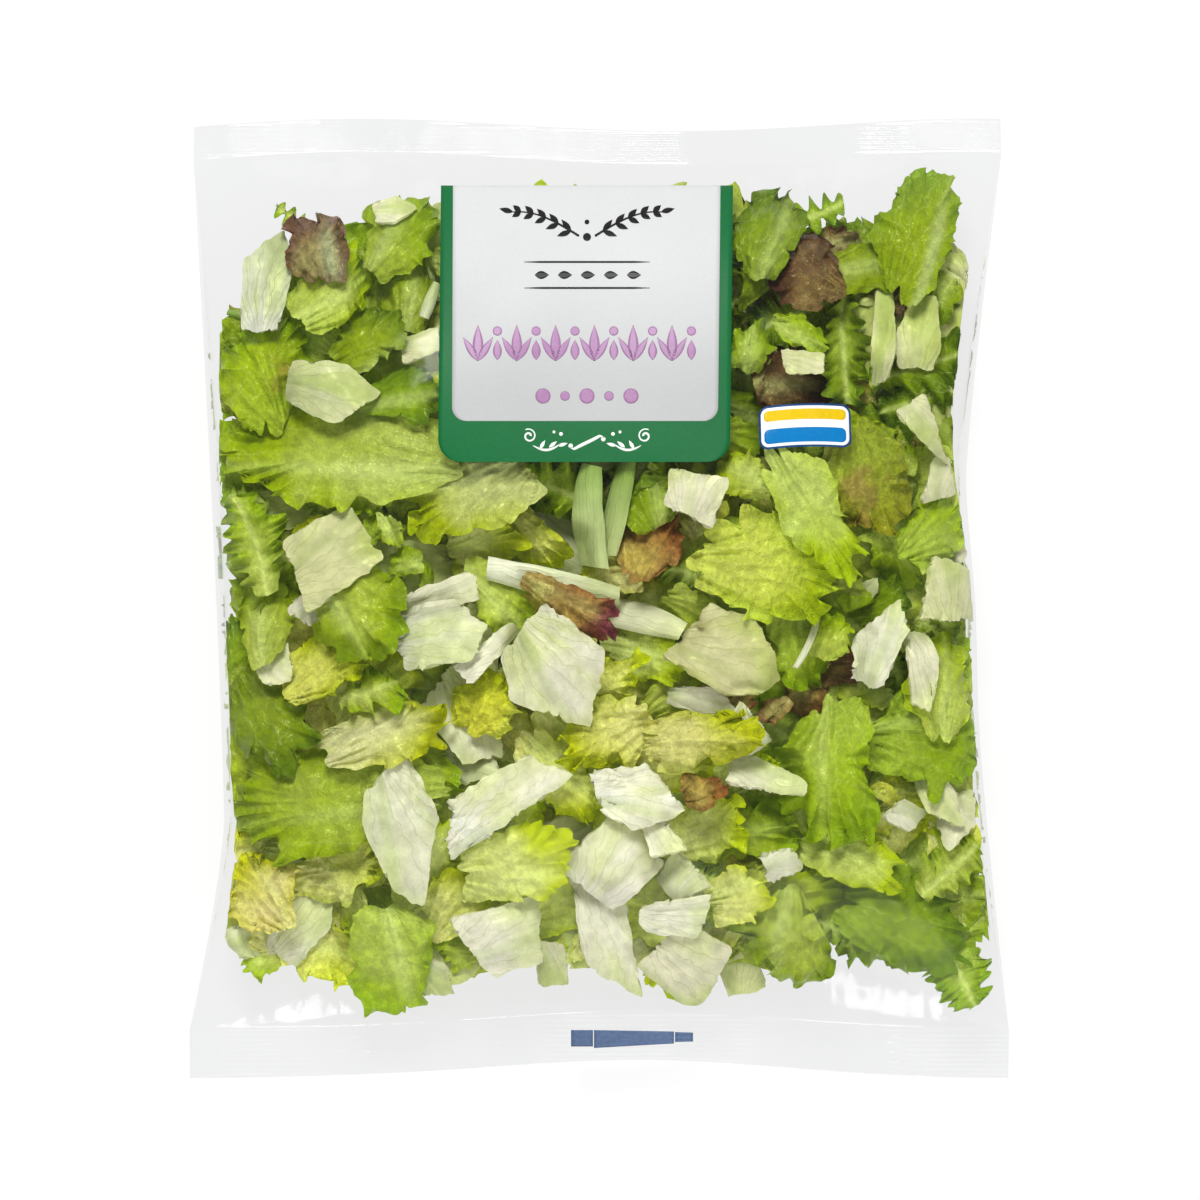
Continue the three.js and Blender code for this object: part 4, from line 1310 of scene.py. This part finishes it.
def plate(piece, px, py, lift):
    """A thin print layer over a grid of points given in pixels."""
    x, y = spot(px, py)
    z = film(x, y, 1) + lift
    # keep the grid's faces pointing up
    P = np.stack([x, y, z], -1)
    a = np.cross(P[1, 0] - P[0, 0], P[0, 1] - P[0, 0])[2]
    if a < 0:
        P = P[:, ::-1]
    up = np.array([0, 0, PLATE])
    piece.add_shell(P + up, P - up)


def panel_grid(left, right, top, bottom, radius, nx, ny, top_radius=0.0):
    """Grid over a panel with rounded lower corners. left and right: (x at the top, x at the bottom)."""
    t = np.linspace(0, 1, ny + 1)
    extra = np.concatenate([t, 1 - (radius / (bottom - top)) * (1 - np.sin(np.linspace(0, np.pi / 2, 14)))])
    if top_radius:
        extra = np.concatenate([extra, (top_radius / (bottom - top)) * (1 - np.sin(np.linspace(0, np.pi / 2, 14)))])
    t = np.unique(np.round(extra, 5))
    py = top + t * (bottom - top)
    lx = left[0] + (left[1] - left[0]) * t
    rx = right[0] + (right[1] - right[0]) * t
    d = np.clip(py - (bottom - radius), 0, radius)
    inset = radius - np.sqrt(np.maximum(radius ** 2 - d ** 2, 0))
    if top_radius:
        d2 = np.clip(top + top_radius - py, 0, top_radius)
        inset = inset + top_radius - np.sqrt(np.maximum(top_radius ** 2 - d2 ** 2, 0))
    lx, rx = lx + inset, rx - inset
    s = np.linspace(0, 1, nx + 1)
    PX = lx[None, :] + (rx - lx)[None, :] * s[:, None]
    PY = py[None, :] * np.ones((nx + 1, 1))
    return PX, PY


def ribbon(piece, pts, widths, lift, steps=3):
    """A flat ribbon along pts (pixels), as wide as widths says at each point."""
    pts = np.asarray(pts, float)
    widths = np.asarray(widths, float) * np.ones(len(pts))
    tan = np.gradient(pts, axis=0)
    tan /= np.maximum(np.linalg.norm(tan, axis=1, keepdims=True), 1e-9)
    side = np.stack([-tan[:, 1], tan[:, 0]], -1)
    s = np.linspace(-0.5, 0.5, steps)
    PX = pts[:, 0][None, :] + side[:, 0][None, :] * widths[None, :] * s[:, None]
    PY = pts[:, 1][None, :] + side[:, 1][None, :] * widths[None, :] * s[:, None]
    plate(piece, PX, PY, lift)


def leaf_mark(piece, x, y, length, width, angle, lift):
    """A plain pointed leaf shape."""
    t = np.linspace(0, 1, 15)
    a = math.radians(angle)
    pts = np.stack([x + t * length * math.cos(a), y - t * length * math.sin(a)], -1)
    ribbon(piece, pts, np.maximum(width * np.sin(np.pi * t ** 0.85), 0.25), lift, 5)


def dot(piece, x, y, r, lift):
    n = 7
    rho, th = disc_grid(n)
    plate(piece, x + r * rho * np.cos(th), y - r * rho * np.sin(th), lift)


def spiral(x, y, r0, r1, a0, a1, n=40):
    t = np.linspace(0, 1, n)
    a = np.radians(a0 + (a1 - a0) * t)
    r = r0 + (r1 - r0) * t
    return np.stack([x + r * np.cos(a), y - r * np.sin(a)], -1)


print_green = Piece("print_green_frame")
plate(print_green, *panel_grid((441, 438), (733, 730), 185.5, 462, 23, 60, 56), 0.09)
print_white = Piece("print_white_panel")
plate(print_white, *panel_grid((453, 452), (720.5, 718), 185.5, 421, 14, 56, 48), 0.17)

ink = Piece("print_sprigs")
# two arched sprigs that meet over a dot, above a rule
for flip in (-1, 1):
    t = np.linspace(0, 1, 30)
    stem = np.stack([587 + flip * (8 + 66 * t), 236 - 30 * np.sin(np.pi * 0.5 * t) + 6 * t], -1)
    ribbon(ink, stem, 2.4 - 1.2 * t, 0.25)
    for k in range(5):
        q = 0.12 + 0.19 * k
        sx, sy = 587 + flip * (8 + 66 * q), 236 - 30 * math.sin(math.pi * 0.5 * q) + 6 * q
        for up in (1, -1):
            a = (38 if up > 0 else -32) + 14 * (1 - q)
            leaf_mark(ink, sx, sy, 15 - 1.2 * k, 5.6, a if flip > 0 else 180 - a, 0.25)
    leaf_mark(ink, 587 + flip * 74, 212, 14, 5.4, 14 if flip > 0 else 166, 0.25)
dot(ink, 587, 237, 4.0, 0.25)
dot(ink, 587, 222, 2.4, 0.25)
t = np.linspace(0, 1, 24)
for y0 in (262, 288):
    ribbon(ink, np.stack([524 + 126 * t, np.full(24, float(y0))], -1), np.minimum(1.9, 12 * np.minimum(t, 1 - t) + 0.4), 0.25)
for k in range(5):
    leaf_mark(ink, 541 + 23 * k - 6, 275, 14, 8.0, 0, 0.25)

mauve = Piece("print_mauve_garland")
# a garland of upright petals, and a short row of beads under it
for k in range(12):
    cxp = 478 + 19.4 * k
    if k % 2 == 0:
        for a in (58, 90, 122):
            leaf_mark(mauve, cxp, 361, 36 if a == 90 else 28, 10.5 if a == 90 else 7.5, a, 0.25)
    else:
        leaf_mark(mauve, cxp, 360, 20, 9.0, 90, 0.25)
        dot(mauve, cxp, 331, 4.6, 0.25)
for k in range(5):
    dot(mauve, 543 + 22 * k, 396, 7.6 if k % 2 == 0 else 4.8, 0.25)

flourish = Piece("print_flourish")
t = np.linspace(0, 1, 40)
turn = 2 * np.pi * (0.12 + 0.76 * t)
mid = np.stack([567 + 40 * t + 2.5 * np.sin(2 * turn), 442.5 + 6.4 * np.sin(turn)], -1)
ribbon(flourish, mid, 0.8 + 2.6 * np.sin(np.pi * t) ** 0.8, 0.18)
dot(flourish, mid[0, 0] + 1.2, mid[0, 1] - 1.0, 2.3, 0.18)
dot(flourish, mid[-1, 0] - 1.2, mid[-1, 1] + 1.0, 2.3, 0.18)
for flip in (-1, 1):
    cxm = 587
    pts = spiral(0, 0, 1.6, 7.2, 0, 480, 60)
    arm = np.stack([cxm + flip * (58 - pts[:, 0]), 436 + pts[:, 1]], -1)
    ribbon(flourish, arm, np.linspace(2.4, 1.2, 60), 0.18)
    t2 = np.linspace(0, 1, 24)
    tail = np.stack([cxm + flip * (54 - 28 * t2), 443 + 8 * np.sin(np.pi * (0.1 + 0.8 * t2)) - 2 * t2], -1)
    ribbon(flourish, tail, 0.8 + 1.8 * np.sin(np.pi * t2), 0.18)
    for k in range(3):
        a = 120 + 22 * k
        leaf_mark(flourish, cxm + flip * (47 - 9 * k), 449 - 1.5 * k, 10, 3.6, a if flip > 0 else 180 - a, 0.18)
    dot(flourish, cxm + flip * 26, 434, 1.9, 0.18)
    dot(flourish, cxm + flip * 33, 432, 1.5, 0.18)

# a small plain tag: dark rim, then three bands
tag_edge, tag_white, tag_blue, tag_gold = Piece("print_tag_edge"), Piece("print_tag_white"), Piece("print_tag_blue"), Piece("print_tag_gold")


def tag_panel(piece, x0, x1, y0, y1, r, lift):
    PX, PY = panel_grid((x0, x0), (x1, x1), y0, y1, r, 26, 10, r)
    turn = math.radians(-1.5)
    dx, dy = PX - 805, PY - 427
    bow = 3.0 * (1 - (dx / 47) ** 2)
    plate(piece, 805 + dx * math.cos(turn) - dy * math.sin(turn), 427 + dx * math.sin(turn) + dy * math.cos(turn) - bow, lift)


tag_panel(tag_edge, 759, 851, 406.5, 449.5, 9, 0.09)
tag_panel(tag_white, 761, 849, 408.5, 447.5, 7.5, 0.16)
tag_panel(tag_gold, 764, 846, 411.5, 422.0, 4, 0.23)
tag_panel(tag_blue, 764, 846, 430.0, 444.5, 5, 0.23)

# the dark bar on the lower seal
bar = Piece("print_bar")
t = np.linspace(0, 1, 30)
bar_rows = ((571, 593, 1030, 1046.5, 1030.0, 1046.5), (594, 674, 1030, 1048, 1031.5, 1043.5), (675, 693, 1032, 1042, 1032.5, 1041.5))
for x0, x1, ya, yb, yc, yd in bar_rows:
    s = np.linspace(0, 1, max(4, int((x1 - x0) / 3)))
    r = np.linspace(0, 1, 13)
    PX = x0 + (x1 - x0) * s[:, None] * np.ones((1, 13))
    PY = (ya + (yc - ya) * s[:, None]) * (1 - r[None, :]) + (yb + (yd - yb) * s[:, None]) * r[None, :]
    plate(bar, PX, PY, 0.10)

prints = [
    (print_green, print_material("ink_green", (10, 102, 52), 0.50, 0.05)),
    (print_white, print_material("ink_white", (204, 205, 205), 0.46, 0.015, (0.056, 0.118, 0.76))),
    (ink, print_material("ink_black", (26, 26, 28), 0.34, 0.06)),
    (mauve, print_material("ink_mauve", (162, 120, 160), 0.32, 0.05)),
    (flourish, print_material("ink_pale", (232, 242, 232), 0.32, 0.03)),
    (tag_edge, print_material("ink_navy", (22, 66, 120), 0.30, 0.05)),
    (tag_white, print_material("ink_tag_white", (244, 245, 246), 0.30, 0.02)),
    (tag_blue, print_material("ink_blue", (0, 118, 184), 0.30, 0.05)),
    (tag_gold, print_material("ink_gold", (222, 186, 8), 0.30, 0.05)),
    (bar, print_material("ink_slate", (88, 108, 142), 0.32, 0.10)),
]
print_objects = [piece.build(material) for piece, material in prints]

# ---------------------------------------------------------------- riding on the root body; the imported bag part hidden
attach(film_obj, "root")
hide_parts("salad_bag")
for obj in leaf_objects + [core_obj]:
    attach(obj, "root")
for obj in print_objects:
    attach(obj, "root")

# ---------------------------------------------------------------- floor, light, camera
floor_mesh = bpy.data.meshes.new("floor")
S = 3.0
floor_mesh.from_pydata([(-S, -S, -0.0004), (S, -S, -0.0004), (S, S, -0.0004), (-S, S, -0.0004)], [], [(0, 1, 2, 3)])
floor = bpy.data.objects.new("floor", floor_mesh)
bpy.context.scene.collection.objects.link(floor)
fm = Nodes("floor_white")
lit = fm.new("ShaderNodeEmission")
lit.inputs["Color"].default_value = (1, 1, 1, 1)
lit.inputs["Strength"].default_value = 0.88
matte = fm.new("ShaderNodeBsdfDiffuse")
matte.inputs["Color"].default_value = (0.11, 0.11, 0.11, 1)
add = fm.new("ShaderNodeAddShader")
fm.link(lit.outputs[0], add.inputs[0])
fm.link(matte.outputs[0], add.inputs[1])
fm.link(add.outputs[0], fm.out.inputs["Surface"])
floor_mesh.materials.append(fm.mat)

world = bpy.data.worlds.new("studio")
world.use_nodes = True
bg = world.node_tree.nodes["Background"]
bg.inputs["Color"].default_value = (1, 1, 1, 1)
WORLD_LIGHT = 0.51  # what the surroundings light the bag with; the camera sees them white
seen = world.node_tree.nodes.new("ShaderNodeLightPath")
strength = world.node_tree.nodes.new("ShaderNodeMath")
strength.operation = "MULTIPLY_ADD"
strength.inputs[1].default_value = 1.0 - WORLD_LIGHT
strength.inputs[2].default_value = WORLD_LIGHT
world.node_tree.links.new(seen.outputs["Is Camera Ray"], strength.inputs[0])
world.node_tree.links.new(strength.outputs[0], bg.inputs["Strength"])
bpy.context.scene.world = world


def softbox(name, place, size, power, aim=(0, 0, 0.03)):
    data = bpy.data.lights.new(name, "AREA")
    data.shape = "SQUARE"
    data.size = size
    data.energy = power
    obj = bpy.data.objects.new(name, data)
    obj.location = place
    obj.rotation_euler = (Vector(aim) - Vector(place)).to_track_quat("-Z", "Y").to_euler()
    obj.visible_camera = False
    bpy.context.scene.collection.objects.link(obj)
    return obj


softbox("key", (-0.12, 0.80, 1.15), 0.42, 14.4)
softbox("fill", (0.35, -1.0, 0.95), 0.8, 5.5)

camera_data = bpy.data.cameras.new("camera")
camera_data.sensor_width = 36.0
camera_data.lens = 36.0 * (CAMERA_HEIGHT - MID_Z) / (1200 * PIXEL)
camera_data.clip_end = 20
camera = bpy.data.objects.new("camera", camera_data)
camera.location = (((600 - CENTRE_X) * PIXEL) * 0.001, ((CENTRE_Y - 600) * PIXEL) * 0.001, CAMERA_HEIGHT * 0.001)
camera.rotation_euler = (0, 0, 0)
bpy.context.scene.collection.objects.link(camera)
bpy.context.scene.camera = camera

view = bpy.context.scene.view_settings
view.view_transform = "Standard"
view.look = "None"
view.exposure = 0.0
view.gamma = 1.0

counts = {o.name: sum(len(p.vertices) - 2 for p in o.data.polygons) for o in leaf_objects + [core_obj, film_obj]}
print("triangles", counts, sum(counts.values()), "filled", n_top, n_bottom)
